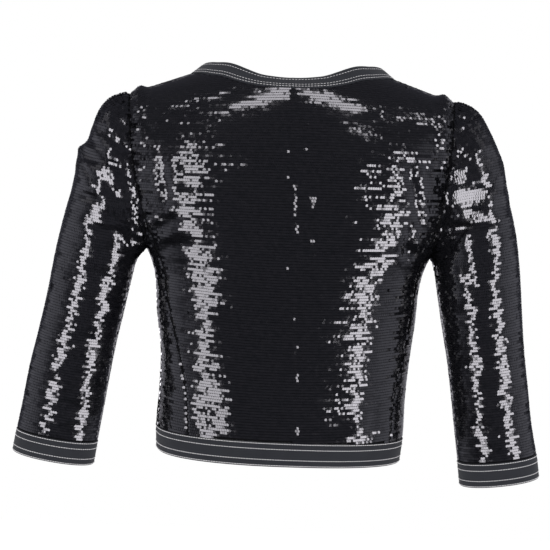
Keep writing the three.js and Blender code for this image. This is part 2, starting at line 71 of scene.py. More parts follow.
# Sections of the body: z, half width, depth behind and in front of the shoulder line.
BODY = (
    (70, 217, 105, 58), (0, 216, 103.5, 75), (-30, 211.5, 102.5, 83), (-62, 205, 101.5, 92),
    (-108, 194, 101, 108), (-143, 183.5, 99, 118), (-165, 174.5, 97, 122), (-181, 167, 95, 123.5),
    (-192, 162, 94, 123.5), (-206, 157.5, 92.5, 123), (-224, 154.5, 91, 121.5), (-257, 152.5, 88.5, 116.5),
    (-300, 147.5, 86.5, 109), (-345, 146, 85.5, 102.5), (-390, 147, 86, 99), (-422, 145, 87, 98.5),
)
# How the worn jacket sits to the right of the middle: z, x.
SWAY = ((70, 0), (0, 0), (-100, -1.5), (-180, -3.8), (-250, -4.3), (-300, -5.2), (-350, -3.9), (-422, -2))
# The armhole: z, how far out it lies behind and in front.
ARMHOLE = (
    (-1, 189, 189), (-13, 188.5, 187.5), (-28, 187.5, 185), (-47, 186, 181), (-68, 183.5, 176.5),
    (-91, 180.5, 172), (-114, 177, 168.5), (-136, 173, 166), (-155, 170, 165.5), (-169, 168.2, 166),
    (-181, 167, 167),
)
# The side-back seam: z, x.
SIDE_BACK = (
    (-422, 120.5), (-390, 120.5), (-350, 122.5), (-328, 125.5), (-265, 138), (-230, 144),
    (-206, 147), (-181, 156), (-165, 162), (-135, 171.5), (-114, 177),
)
# The neck seam from the centre back to the front edge: x, z, side, lean of the band above level.
NECK = (
    (0, 12.5, 1, 34), (24, 12.8, 1, 36), (44, 14.5, 1, 40), (63, 18, 1, 51), (81, 22.8, 1, 54),
    (100, 24.9, 1, 45), (117.5, 24.2, 1, 37), (118.8, 13, -1, 40), (115, -7, -1, 50), (104.5, -27, -1, 55),
    (86, -44, -1, 60), (60, -56, -1, 64), (22.5, -63, -1, 66), (2.5, -64, -1, 66),
)
NECK_RIDGE, NECK_PANEL = 6, 12  # its rows at the shoulder and at the front band
# Rings of a sleeve from the armhole to the wrist: height of the outer point, how far out it lies on the
# left and on the right arm, height and place of the inner point, depth behind and in front, middle.
SLEEVE = (
    (-1, 189, 189, -181, 167, 47, 62, -4), (-3, 201, 202, -182.5, 167.3, 49, 62, -4),
    (-7, 211, 212, -184, 168.3, 51, 62, -4), (-13.5, 218.5, 220.5, -186, 169.6, 52, 62, -4),
    (-25, 226, 229, -188, 171.5, 52.5, 62, -4), (-42, 232, 238.5, -190.5, 172.7, 52.5, 61.5, -4),
    (-62, 239, 248, -193.5, 174, 52.5, 61, -4), (-70, 248.5, 251, -195, 174.6, 53, 60.5, -4),
    (-92, 249.5, 255.5, -199, 175.8, 52.5, 60, -4), (-117, 254, 261.5, -205, 177.3, 52, 58.5, -4),
    (-149, 262, 269.5, -215, 179.2, 51, 57, -4), (-189, 270.5, 276, -233, 182.8, 49.5, 54.5, -5),
    (-234, 278, 281, -262, 188.5, 46.5, 50.5, -7), (-281, 287.5, 286.5, -300, 196.5, 43, 46.5, -10),
    (-327, 298, 294, -341, 203.5, 40.5, 43.5, -14), (-369, 305.5, 301, -381, 209.8, 39, 41.5, -19),
    (-406, 312.5, 309.5, -419, 216, 38.5, 41, -24), (-434, 317.5, 314.5, -448, 220.5, 38.5, 41, -28),
)
CUFF_ROW, LAST_ROW = 16, 17
SLEEVE_SQUARENESS, SLEEVE_RADIUS = 2.1, 40
FREE_RING = 12  # from here down a sleeve hangs free of the body's turn
RIGHT_LOWER = 8.0
MIDDLE = (0.0, SHOULDER_Y, -200.0)
SIDES = (("left", 1), ("right", -1))

# ---- Cloth and trimming ----

FINE = 7  # grid steps of a panel's cloth for each step of its solid
GRID_STEP = 2.0  # about how far apart they are
SLEEVE_COLUMNS = 160
BODY_GRID = 641  # rows and columns of the grid that the body's sequins are laid over
SLEEVE_GRID = (900, 360)  # and of a sleeve's
BODY_ROWS, SLEEVE_ROWS = range(-90, 91), range(151)  # of sequins, from the chest and from the cuff; to spare
GROUND = 1.15  # how far the ground cloth lies under the sequins' faces
CLOTH = 2.1  # from the sequins' faces to the wrong side
BAND_CLOTH, BAND_PROUD, BAND_ROUND, BAND_SWELL = 2.6, 0.3, 1.0, 0.25
FACE_POINTS, EDGE_POINTS = 15, 5  # of a band's cross section
SEAM_DEPTH, SEAM_WIDTH = 0.9, 1.8
CENTRE_SEAM_DEPTH = 0.6
NO_SEAM = 99.0  # stands for the distance to a seam that isn't there
# Places on the back where sequins lie turned: x, z, reach across and down, degrees sideways.
TURNED = (
    (-21.5, -116, 3.4, 11, -23), (-19, -160, 2.4, 4, -23), (-23, -139, 2, 2, -23), (-20, -176, 2, 3, -23),
    (-1, -118, 1.6, 18, -23), (-2, -146, 1.6, 6, -23), (-2, -99, 1.6, 3, -23), (-1, -284, 1.6, 4, -24),
    (0, -318, 1.6, 9, -25), (-2, -382, 1.8, 8, -25), (-14, -57, 2, 3, -22), (-6, -45, 2, 2, -23),
    (-48, -127, 2, 3, -17), (45, -66, 5, 3, 12), (48, -76, 3, 3, 11),
)
# How far sequins lie turned at each height: z, degrees towards -X on the left half and on the right half.
DRIFT = (
    (-422, -7, -5), (-394, -7, -5), (-375, -4.5, -3), (-350, -1.5, -1), (-300, 1.5, 0.5), (-240, 2.5, 1),
    (-200, 1.7, 0), (-70, 1.5, 0), (-40, 0, 0), (70, 0, 0),
)
PUCKER, SLEEVE_PUCKER = 16.0, 25.6  # how far from an armhole the body's and the sleeves' cloth lies uneasily
CALM = 0.2  # how much more evenly it lies below the neck, and less evenly over the shoulder blades
SEQUIN_RADIUS = 1.95
SEQUIN_ROWS, SEQUIN_STEP = 3.25, 2.7  # between rows, and along a row
SEQUIN_MARGIN = 1.0  # nearest that a sequin's middle comes to a seam
SHINGLE = math.radians(4.0)  # how far each sequin leans out over the row below it
LIP = 0.8  # how far its lower edge is bent in
LEAN_UP, LEAN_SIDE = np.radians((1.3, 0.9)), np.radians((2.8, 1.7))  # of a run, and of one sequin
UNEASY_LEAN = 2.5  # how much more they lean where the cloth lies uneasily
STRAYS, STRAY_LEAN = 0.004, 7.0  # share of sequins that lie askew, and how much more they lean
HEM_STITCH = (2.6, 0.4, 0.46)  # a stitch's length, the gap to the next one and half its thickness
NECK_STITCH = (3.0, 0.7, 0.3)
HEM_STITCHES = (1.2, 7.5, 19.7, 26.2)  # rows of topstitching, from a band's upper edge
NECK_STITCHES = (4.6, 13.7, 17.4)
STITCH_LIFT, STITCH_DIP = 0.32, 0.5  # how high a stitch's middle lies on a band, and how far its ends sink
STITCH_TRIM = 1.5  # how far short of an open band's ends the stitching stops
BAND_ROWS, FRONT_COLUMNS, CUFF_COLUMNS = 9, 90, 144  # of the grids that the bands are laid over
NECK_OVER = 0.8  # how far the neck band covers the cloth's edge
NECK_ACROSS = NECK_BAND + SEAM_GAP + NECK_OVER


def read(table, column, at):
    """One column of a table along its first: a cubic through the rows, sloping at each as the straight line
    between its neighbours does."""
    key, value = np.array(table, float)[:, [0, column]].T
    if key[0] > key[-1]:
        key, value = key[::-1], value[::-1]
    number = np.arange(len(key))
    after, before = np.minimum(number + 1, len(key) - 1), np.maximum(number - 1, 0)
    slope = (value[after] - value[before]) / (key[after] - key[before])
    i = np.clip(np.searchsorted(key, at), 1, len(key) - 1)
    span = key[i] - key[i - 1]
    t = np.clip((at - key[i - 1]) / span, 0, 1)
    start = value[i - 1] * (1 + 2 * t) + slope[i - 1] * span * t
    end = value[i] * (3 - 2 * t) - slope[i] * span * (1 - t)
    return start * (1 - t) ** 2 + end * t**2


def smooth(x, low, high):
    """0 below low, 1 above high, and a soft S between."""
    t = np.clip((x - low) / (high - low), 0, 1)
    return t * t * (3 - 2 * t)


def signed_power(x, power):
    """A power of x's size, with x's sign."""
    return np.sign(x) * np.abs(x) ** power


def spot(x, z, place, power=4):
    """1 at a place given as x, z, reach across and reach down, level near it, and soon 0 beyond its reach."""
    at_x, at_z, wide, tall = place
    return np.exp(-(((x - at_x) / wide) ** power) - ((z - at_z) / tall) ** power)


def ridge_height(share):
    """Height of the shoulder line at a share of the half width."""
    return RIDGE_MIDDLE - RIDGE_FALL * share


def half_width_at(z):
    return read(BODY, 1, z)


def depth_at(z, side):
    return np.where(side < 0, read(BODY, 3, z), read(BODY, 2, z))


def armhole_at(z, side):
    return np.where(side < 0, read(ARMHOLE, 2, z), read(ARMHOLE, 1, z))


def side_back_at(z):
    return read(SIDE_BACK, 1, z)


def body(turn, down):
    """The body before it is worn. turn runs across, -1 to 1; down from 0 on the shoulder line to 1 at chest
    level and 2 at the hem, negative in front. Each section is a rounded loop of power 2.35, and above the
    chest it closes over a quarter turn onto the sloping shoulder line, with a low ridge along the armhole."""
    across = turn * math.pi / 2
    out = signed_power(np.sin(across), 2 / SQUARENESS)
    deep = signed_power(np.cos(across), 2 / SQUARENESS)
    fall = np.minimum(np.abs(down), 1) * math.pi / 2
    below = np.maximum(np.abs(down) - 1, 0) * (CHEST - HEM)
    z = CHEST + (ridge_height(np.abs(out)) - CHEST) * np.cos(fall) - below
    side = np.sign(down) * np.where(deep < 0, -1, 1)
    x = half_width_at(z) * out
    y = SHOULDER_Y + side * depth_at(z, side) * np.abs(deep) * np.sin(fall)
    inside = armhole_at(np.minimum(z, ARM_TOP), side) - np.abs(x)
    bell = np.exp(-(((inside - RIDGE_INSIDE) / RIDGE_SPREAD) ** 2))
    lift = RIDGE_LIFT * smooth(z, RIDGE_END, ARM_TOP) * bell
    return np.stack([x, y + side * lift * np.sin(fall), z + lift * np.cos(fall)], -1)


def body_place(x, z, side):
    """The pair (turn, down) of the place x out from the middle at height z, behind or in front."""
    share = np.minimum(x / half_width_at(z), 1)
    turn = np.arcsin(share ** (SQUARENESS / 2)) / (math.pi / 2)
    rise = np.clip((z - CHEST) / (ridge_height(share) - CHEST), -1, 1)
    down = np.where(z < CHEST, 1 + (CHEST - z) / (CHEST - HEM), np.arccos(rise) / (math.pi / 2))
    return np.stack([turn, side * down], -1)


def worn(points, share=1.0):
    """Points as the jacket is worn: turned about the upright axis more and more towards the hem, moved to
    the right, and tilted at shoulders and hem. share says how much of this."""
    x, y, z = np.moveaxis(points, -1, 0)
    angle = share * TWIST * (np.maximum(-z, 0) / -HEM) ** TWIST_GROWTH
    tilt = SHOULDER_TILT * smooth(z, SHOULDER_TILT_END, 0) + HEM_TILT * smooth(-z, -HEM_TILT_START, -HEM)
    return np.stack(
        [
            x * np.cos(angle) - y * np.sin(angle) + share * read(SWAY, 1, z),
            x * np.sin(angle) + y * np.cos(angle),
            z + share * tilt * x,
        ],
        -1,
    )


def unit(vectors):
    return vectors / np.maximum(np.linalg.norm(vectors, axis=-1, keepdims=True), 1e-9)


def away_from(middle, points, facing):
    """The directions turned round wherever they point towards the middle."""
    return facing * np.sign(np.sum(facing * (points - middle), -1, keepdims=True))


def lengths(points):
    """How far each point lies from the first row, measured down its own column."""
    steps = np.linalg.norm(np.diff(points, axis=0), axis=-1)
    return np.concatenate([np.zeros_like(steps[:1]), np.cumsum(steps, 0)])


def way_of(azimuth, elevation):
    """The direction so many degrees from straight behind towards +X, and up."""
    a, e = math.radians(azimuth), math.radians(elevation)
    return np.array([math.sin(a) * math.cos(e), math.cos(a) * math.cos(e), math.sin(e)])


def body_facing(turn, down):
    """Directions out of the worn body: square to small steps of turn and of down."""
    step = 1e-3
    across = worn(body(turn + step, down)) - worn(body(turn - step, down))
    along = worn(body(turn, down + step)) - worn(body(turn, down - step))
    return away_from(MIDDLE, worn(body(turn, down)), unit(np.cross(across, along)))


def normals(points, closed=False):
    """Outward directions of a grid of points whose columns run anticlockwise, seen from above, and whose
    rows run down: the cross product of the two steps. closed joins the last column to the first."""
    if closed:
        across = np.roll(points, -1, 1) - np.roll(points, 1, 1)
    else:
        across = np.gradient(points, axis=1)
    return unit(np.cross(np.gradient(points, axis=0), across))


# ---- Folds ----
# Each row: from (x, z) to (x, z), half width, and depth: a trough, or a ridge where it is negative.

BACK_FOLDS = (
    (149, -72, 142, -118, 6, 1.0), (143, -98, 147, -146, 5, 0.8), (157, -66, 152, -124, 6, -0.8),
    (160, -160, 128, -138, 6, 1.5), (137, -60, 133, -118, 8, -0.9), (150, -176, 118, -168, 7, 1.2),
    (126, -230, 120, -300, 14, 1.0), (116, -158, 108, -236, 21, 0.9), (-134, -70, -142, -116, 5.5, 0.8),
    (-138, -100, -147, -146, 5, 0.8), (-143, -60, -152, -122, 6, -0.8), (-134, -140, -130, -178, 5.5, 1.6),
    (-168, -60, -171, -98, 4.5, 1.3), (-150, -176, -122, -166, 7, 1.2), (-160, -150, -150, -120, 6, -0.9),
    (146, -84, 156, -98, 5, 0.9), (138, -128, 150, -138, 5, -0.9), (-130, -84, -146, -98, 5, 0.9),
    (-134, -206, -146, -150, 6, -1.0), (-118, -240, -112, -310, 14, 0.9), (40, -60, 34, -150, 16, -0.8),
    (-52, -70, -44, -150, 18, -0.7), (-34, -108, -30, -150, 7, 0.7), (72, -330, 66, -392, 14, -0.9),
    (-70, -320, -78, -392, 15, -0.9), (100, -350, 104, -394, 9, 0.8), (-98, -350, -92, -394, 9, 0.9),
    (20, -300, 18, -392, 16, 0.5),
)
FRONT_FOLDS = (
    (150, -60, 128, -118, 7, 2.0), (158, -92, 140, -140, 6, -1.2), (160, -150, 112, -150, 8, 1.5),
    (150, -172, 104, -178, 9, 1.2), (96, -250, 88, -330, 14, 1.0), (60, -60, 66, -120, 15, -0.9),
    (-150, -56, -126, -112, 7, 2.1), (-160, -96, -138, -136, 6, -1.2), (-158, -146, -108, -154, 8, 1.4),
    (-148, -174, -110, -170, 9, 1.2), (-92, -240, -86, -326, 14, 1.1), (-56, -64, -62, -126, 15, -0.9),
    (110, -340, 116, -392, 10, 0.9), (-104, -346, -110, -392, 10, 0.9),
)
LEFT_SLEEVE_BACK = (
    (222, -44, 190, -64, 4.5, 2.6), (249, -74, 222, -108, 5, 3.2), (244, -74, 218, -84, 5, 2.4),
    (218, -76, 190, -90, 4.5, 2.2), (243, -119, 216, -127, 5, 2.0), (224, -156, 190, -163, 5, 1.5),
    (250, -62, 226, -70, 5, -1.6), (236, -96, 206, -112, 7, -1.6), (214, -104, 188, -128, 6, 1.4),
    (204, -140, 182, -176, 7, 1.4), (246, -150, 220, -176, 10, -1.2), (262, -196, 240, -214, 9, 1.1),
    (216, -206, 200, -226, 9, 1.1), (276, -262, 252, -274, 10, 0.9), (228, -286, 212, -300, 8, 0.9),
    (290, -336, 262, -346, 10, 0.9), (246, -372, 226, -384, 9, 0.8),
)
RIGHT_SLEEVE_BACK = (
    (-190, -146, -240, -132, 5, 2.0), (-186, -136, -238, -118, 6, -1.4), (-186, -166, -216, -190, 7, 1.5),
    (-196, -184, -222, -212, 6, 1.3), (-208, -52, -192, -70, 5, 1.6), (-230, -46, -206, -58, 6, -1.1),
    (-246, -88, -222, -98, 8, 1.2), (-256, -164, -236, -178, 9, -1.2), (-270, -206, -246, -214, 9, 1.1),
    (-222, -232, -202, -246, 8, 1.1), (-276, -262, -252, -272, 10, 0.9), (-232, -300, -214, -312, 8, 0.9),
    (-284, -330, -256, -338, 10, 0.9), (-248, -376, -226, -386, 9, 0.8), (-262, -118, -240, -112, 6, 1.2),
)
LEFT_SLEEVE_FRONT = (
    (226, -50, 192, -72, 5, 2.4), (246, -92, 214, -118, 6, 2.6), (240, -76, 206, -92, 6, -1.4),
    (236, -138, 196, -160, 6, 2.0), (226, -176, 194, -196, 7, 1.5), (256, -168, 228, -186, 9, -1.2),
    (262, -214, 226, -232, 9, 1.5), (252, -246, 208, -262, 8, 1.3), (276, -300, 236, -312, 10, 1.1),
    (290, -350, 250, -362, 10, 0.9),
)
RIGHT_SLEEVE_FRONT = (
    (-228, -46, -194, -70, 5, 2.2), (-250, -96, -214, -120, 6, 2.4), (-244, -80, -208, -96, 6, -1.3),
    (-238, -146, -196, -162, 6, 2.1), (-228, -182, -196, -202, 7, 1.5), (-260, -176, -230, -192, 9, -1.2),
    (-264, -220, -228, -236, 9, 1.4), (-254, -252, -208, -268, 8, 1.2), (-276, -306, -236, -318, 10, 1.1),
    (-288, -352, -250, -366, 10, 0.9),
)
# Gathers at a sleeve head: degrees round the armhole from its top towards the back, length, half width
# in degrees, and depth of the trough.
LEFT_GATHERS = (
    (-88, 26, 5, 1.2), (-70, 34, 5, 1.7), (-52, 30, 4.5, 1.5), (-35, 38, 4.5, 2.0), (-19, 30, 4, 1.6),
    (-5, 40, 4, 2.2), (9, 34, 4.5, 2.4), (24, 42, 4.5, 1.9), (39, 30, 4, 1.6), (54, 36, 5, 1.8),
    (72, 28, 5, 1.3), (90, 26, 5, 1.2),
)
RIGHT_GATHERS = (
    (-90, 26, 5, 1.2), (-73, 30, 5, 1.6), (-56, 36, 4.5, 1.7), (-40, 30, 4.5, 1.6), (-23, 38, 4, 2.0),
    (-8, 32, 4, 1.8), (7, 42, 4.5, 2.2), (21, 34, 4.5, 2.6), (36, 34, 4, 1.7), (52, 28, 5, 1.5),
    (69, 34, 5, 1.4), (88, 26, 5, 1.2),
)
# Where the right sleeve's cloth lies flat behind: x, z, reach across and down, and the way its sequins face,
# as degrees from straight behind towards +X and up.
FLATS = ((-197, -84, 9, 12, -20, -1), (-208, -106, 25, 11, -20, -1), (-214, -127, 15, 7, -20, -1))
FLAT_CENTRE, FLAT_DEEP = (-206, -110, 20, 20), 1.2  # middle and reach of all three, and how far in they lie
FLAT_SHARE = 0.97  # how fully a sequin there turns that way
DARTS = ((86, -394, 78, -205, 1.6, 1.3), (-86, -394, -78, -205, 1.6, 1.3))  # the fronts' waist darts


def folds(table, x, z):
    """How far the cloth is pushed in at places (x, z): each fold is a bell across its line, with a shallow
    swell along either side, and dies away towards its ends."""
    depth = np.zeros(np.shape(x))
    for x0, z0, x1, z1, width, deep in table:
        length = math.hypot(x1 - x0, z1 - z0)
        along = ((x - x0) * (x1 - x0) + (z - z0) * (z1 - z0)) / length**2
        aside = np.abs((x - x0) * (z1 - z0) - (z - z0) * (x1 - x0)) / length
        bell = np.exp(-((aside / width) ** 2)) - 0.3 * np.exp(-(((aside / width) - 2) ** 2))
        depth += deep * bell * smooth(along, -0.25, 0.3) * (1 - smooth(along, 0.7, 1.25))
    return depth


def body_relief(points, turn):
    """How far the cloth is pushed out at unworn points of the body: less its folds and the narrow valleys
    along its seams."""
    x, y, z = np.moveaxis(points, -1, 0)
    side = np.where(y >= SHOULDER_Y, 1, -1)
    beyond = np.abs(x)

    def section_y(at):
        """How far behind the shoulder line the body's own section lies, at so far from the middle."""
        share = np.clip(at / half_width_at(z), 0, 1)
        rise = np.clip((z - CHEST) / (ridge_height(share) - CHEST), 0, 1)
        return side * depth_at(z, side) * (1 - share**SQUARENESS) ** (1 / SQUARENESS) * np.sqrt(1 - rise**2)

    def away(at, exists):
        """How far a point lies, level, from the seam that runs so far from the middle."""
        return np.where(exists, np.hypot(beyond - at, y - SHOULDER_Y - section_y(at)), NO_SEAM)

    ridge = ridge_height(np.abs(np.sin(turn * math.pi / 2)) ** (2 / SQUARENESS))
    armhole = away(armhole_at(np.minimum(z, ARM_TOP), side), z > ARM_BOTTOM - 6)
    side_back_seam = away(side_back_at(z), (side > 0) & (z < SIDE_BACK[-1][0]))
    side_seam = np.where(z < ARM_BOTTOM + 4, np.abs(y - SHOULDER_Y), NO_SEAM)
    shoulder_seam = np.hypot(y - SHOULDER_Y, z - ridge)
    seams = (side_back_seam, armhole, side_seam, shoulder_seam)
    valley = sum(np.exp(-((gap / SEAM_WIDTH) ** 2)) for gap in seams)
    uneven = 0.6 + 0.4 * np.sin(z / 7.3 + 1) * np.sin(z / 17.9)
    centre = np.where(side > 0, CENTRE_SEAM_DEPTH * uneven * np.exp(-((beyond / SEAM_WIDTH) ** 2)), 0)
    pushed = np.where(side > 0, folds(BACK_FOLDS, x, z), folds(FRONT_FOLDS, x, z) + folds(DARTS, x, z))
    fade = smooth(z, BAND_TOP, BAND_TOP + 18) * smooth(np.abs(y - SHOULDER_Y), 4, 26) * smooth(armhole, 0, 9)
    return -pushed * fade - SEAM_DEPTH * np.minimum(valley, 1) - centre


# ---- Surfaces on fine grids ----


def body_grid(turns, downs, relief=True):
    """Worn points of the body over a grid of turns and downs, and the directions out of it. With relief, the
    points are moved out along those directions by what body_relief gives."""
    bare = body(turns, downs)
    plain, facing = worn(bare), body_facing(turns, downs)
    return plain + facing * body_relief(bare, turns)[..., None] if relief else plain, facing


def armhole_height(angles):
    """Height of the armhole at angles from its top: the cosine, between its bottom and its top."""
    return ARM_BOTTOM + (ARM_TOP - ARM_BOTTOM) * (1 + np.cos(angles)) / 2


SEAM_TOP = armhole_height(SEAM_STEP * ARM_ANGLE)


def armhole_ring(arm, angles):
    """The armhole's turns and downs at angles counted from its top down the back."""
    height = armhole_height(angles)
    side = np.where(angles <= math.pi, 1, -1)
    at = body_place(armhole_at(height, side), height, side)
    return arm * at[..., 0], np.where(height > ARM_TOP - 1e-6, 0, at[..., 1])


def sleeve_plain(arm, rows, angles):
    """Points of a sleeve: rings through the table's rows, each a rounded loop from its outer point to its
    inner one, joined along the sleeve by a cubic. Ring 0 is the armhole itself."""
    ring = np.array(SLEEVE, float)
    number = np.arange(len(ring))[:, None]
    outwards = (1 + signed_power(np.cos(angles), 2 / SLEEVE_SQUARENESS)) / 2
    backwards = signed_power(np.sin(angles), 2 / SLEEVE_SQUARENESS)
    reach = ring[:, 1 if arm > 0 else 2, None]
    x = ring[:, 4, None] + (reach - ring[:, 4, None]) * outwards
    y = ring[:, 7, None] + backwards * np.where(backwards > 0, ring[:, 5, None], ring[:, 6, None])
    z = ring[:, 3, None] + (ring[:, 0, None] - ring[:, 3, None]) * outwards
    if arm < 0:
        z = z - RIGHT_LOWER * (number / LAST_ROW) ** 2
    points = worn(np.stack([arm * x, y, z], -1), 1 - smooth(number, 0, FREE_RING))
    points[0] = worn(body(*armhole_ring(arm, angles)))
    slope = np.gradient(points, axis=0)
    i = np.clip(rows.astype(int), 0, len(ring) - 2)
    t = (rows - i)[:, None, None]
    start = points[i] * (1 + 2 * t) + slope[i] * t
    end = points[i + 1] * (3 - 2 * t) - slope[i + 1] * (1 - t)
    return start * (1 - t) ** 2 + end * t**2


def sleeve_grid(arm, rows, angles):
    """Worn points of a sleeve with its gathers and folds, the directions out of it, and how far each point
    lies from the armhole. Near the armhole the directions turn into the body's own."""
    plain = sleeve_plain(arm, rows, angles)
    facing = away_from(plain.mean(1, keepdims=True), plain, normals(plain, closed=True))
    x, z = plain[..., 0], plain[..., 2]
    run = lengths(plain)
    own = smooth(run, 0, 7)[..., None]
    facing = unit(facing * own + body_facing(*armhole_ring(arm, angles)) * (1 - own))
    if arm > 0:
        back, front, gathers = LEFT_SLEEVE_BACK, LEFT_SLEEVE_FRONT, LEFT_GATHERS
    else:
        back, front, gathers = RIGHT_SLEEVE_BACK, RIGHT_SLEEVE_FRONT, RIGHT_GATHERS
    behind = smooth(np.sin(angles), -0.35, 0.35)
    pushed = behind * folds(back, x, z) + (1 - behind) * folds(front, x, z)
    pushed = pushed * smooth(run, 2, 14) * (1 - smooth(rows, CUFF_ROW - 0.8, CUFF_ROW)[:, None])
    near = spot(x, z, FLAT_CENTRE) * behind
    to_plane = (plain.reshape(-1, 3)[np.argmax(near)] - plain) @ way_of(*FLATS[0][4:])
    pushed -= near * np.clip(to_plane / np.maximum(facing[..., 1], 0.4) - FLAT_DEEP, -4, 4)
    degrees = np.degrees(np.where(angles > math.pi, angles - 2 * math.pi, angles))
    for at, length, width, deep in gathers:
        aside = np.abs(degrees - at) / width
        bell = np.exp(-(aside**2)) - 0.45 * np.exp(-((aside - 1.8) ** 2))
        pushed += deep * bell * np.exp(-((run / length) ** 2) * 1.2) * smooth(run, 0, 6)
    underarm = np.radians(np.abs(np.abs(degrees) - 180)) * SLEEVE_RADIUS
    valley = np.exp(-((run / SEAM_WIDTH) ** 2)) + np.exp(-((underarm / SEAM_WIDTH) ** 2))
    pushed += SEAM_DEPTH * np.minimum(valley, 1)
    return plain - facing * pushed[..., None], facing, run


# ---- Meshes ----


def mesh_piece(name, vertices, faces, material, uv=None, uv_name="Weave", shade_smooth=True):
    """A piece riding on the body. vertices are in millimetres; faces has one row for each face."""
    mesh = bpy.data.meshes.new(name)
    count, corners = faces.shape
    mesh.vertices.add(len(vertices))
    mesh.vertices.foreach_set("co", (vertices * MM).astype(np.float32).ravel())
    mesh.loops.add(count * corners)
    mesh.loops.foreach_set("vertex_index", faces.astype(np.int32).ravel())
    mesh.polygons.add(count)
    mesh.polygons.foreach_set("loop_start", np.arange(0, count * corners, corners, dtype=np.int32))
    mesh.update(calc_edges=True)
    mesh.polygons.foreach_set("use_smooth", np.full(count, shade_smooth))
    if uv is not None:
        layer = mesh.uv_layers.new(name=uv_name)
        layer.data.foreach_set("uv", uv[faces.ravel()].astype(np.float32).ravel())
    mesh.materials.append(material)
    piece = bpy.data.objects.new(name, mesh)
    bpy.context.scene.collection.objects.link(piece)
    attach(piece, "root")
    return piece


def grid_faces(rows, columns, closed_rows=False, closed_columns=False):
    """Four-sided faces of a grid of points, counted row by row."""
    j = np.arange(rows if closed_rows else rows - 1)[:, None]
    i = np.arange(columns if closed_columns else columns - 1)[None, :]
    below, beside = (j + 1) % rows, (i + 1) % columns
    corners = [j * columns + i, j * columns + beside, below * columns + beside, below * columns + i]
    return np.stack([np.broadcast_to(c, (j.size, i.size)) for c in corners], -1).reshape(-1, 4)


def outward_faces(vertices, faces):
    """The faces turned round if the closed mesh they make holds a negative volume."""
    a, b, c, d = (vertices[faces[:, k]] for k in range(4))
    volume = np.sum(a * np.cross(b, c)) + np.sum(a * np.cross(c, d))
    return faces if volume > 0 else faces[:, ::-1]


def loop_piece(name, loops, material, closed=False, uv=None):
    """A closed solid from a row of cross sections, each a closed loop of points. Unless the row itself is
    closed, its two ends are shut by strips across the first and the last loop."""
    rows, columns = loops.shape[:2]
    vertices = loops.reshape(-1, 3)
    faces = grid_faces(rows, columns, closed, True)
    if not closed:
        half = columns // 2
        strip = np.arange(half - 1)
        cap = np.stack([strip, strip + 1, columns - 2 - strip, columns - 1 - strip], -1)
        faces = np.concatenate([faces, cap[:, ::-1], cap + (rows - 1) * columns])
    return mesh_piece(name, vertices, outward_faces(vertices, faces), material, uv)


def cloth_piece(name, points, facing, closed=False):
    """A thin shell of cloth: its right side lies under the sequins, its wrong side a cloth's thickness in.
    Each row of the grid, or each column of a closed one, becomes a closed loop: out along the right side and
    back along the wrong side."""
    right, wrong = points - facing * GROUND, points - facing * CLOTH
    rows, columns = points.shape[:2]
    scale = np.stack(np.meshgrid(np.arange(columns), np.arange(rows)), -1) * GRID_STEP * MM
    if closed:
        loops = np.concatenate([right, wrong[::-1]], 0).transpose(1, 0, 2)
        uv = np.concatenate([scale, scale[::-1]], 0).transpose(1, 0, 2)
    else:
        loops = np.concatenate([right, wrong[:, ::-1]], 1)
        uv = np.concatenate([scale, scale[:, ::-1]], 1)
    piece = loop_piece(name, loops, KNIT, closed, uv.reshape(-1, 2))
    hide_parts(name.removesuffix("_cloth"))


# ---- Materials ----


class Nodes:
    """The node tree of a material or a world, with short ways to add and join nodes."""

    def __init__(self, owner):
        self.owner = owner
        owner.use_nodes = True
        self.tree = owner.node_tree
        self.shader = self.tree.nodes.get("Principled BSDF")

    def add(self, kind, **settings):
        """A node of this kind. A setting called in_ and a socket's number or name is that socket's value."""
        node = self.tree.nodes.new(kind)
        for key, value in settings.items():
            socket = key.removeprefix("in_")
            if socket == key:
                setattr(node, key, value)
            else:
                which = int(socket) if socket.isdigit() else socket.replace("_", " ")
                node.inputs[which].default_value = value
        return node

    def set(self, **values):
        """Constant values on the shader's own sockets."""
        for key, value in values.items():
            self.shader.inputs[key.replace("_", " ")].default_value = value

    def noise(self, scale, detail, where=None):
        """Noise over the piece's own coordinates or over another source of them."""
        if where is None:
            where = self.add("ShaderNodeTexCoord").outputs["Object"]
        node = self.add("ShaderNodeTexNoise", in_Scale=scale, in_Detail=detail)
        self.join(where, node.inputs["Vector"])
        return node.outputs["Fac"]

    def bump(self, height, strength, distance):
        """The shader's normal follows this height."""
        node = self.add("ShaderNodeBump", in_Strength=strength, in_Distance=distance)
        self.join(height, node.inputs["Height"])
        self.join(node.outputs["Normal"], self.shader.inputs["Normal"])

    def join(self, source, target):
        self.tree.links.new(source, target)

    def mix(self, share, low, high):
        """The colour low where share is 0 and high where it is 1; either may be a colour or a socket."""
        node = self.add("ShaderNodeMix", data_type="RGBA")
        self.join(share, node.inputs[0])
        for socket, value in ((node.inputs[6], low), (node.inputs[7], high)):
            if isinstance(value, tuple):
                socket.default_value = value
            else:
                self.join(value, socket)
        return node.outputs[2]

    def ramp(self, source, *stops):
        """A colour that runs from stop to stop, each a value of the source and its red, green and blue."""
        node = self.add("ShaderNodeValToRGB")
        elements = node.color_ramp.elements
        while len(elements) < len(stops):
            elements.new(0.5)
        for element, (at, colour) in zip(elements, stops):
            element.position, element.color = at, (*colour, 1)
        self.join(source, node.inputs[0])
        return node.outputs[0]


def sequin_material():
    """Glossy black film, a little browner or bluer from disc to disc."""
    n = Nodes(bpy.data.materials.new("sequin_film"))
    colour = n.ramp(n.noise(260.0, 2.0), (0.3, (0.0022, 0.0024, 0.003)), (0.7, (0.0055, 0.0054, 0.0064)))
    n.join(colour, n.shader.inputs["Base Color"])
    n.set(Roughness=0.1, IOR=1.65)
    return n.owner


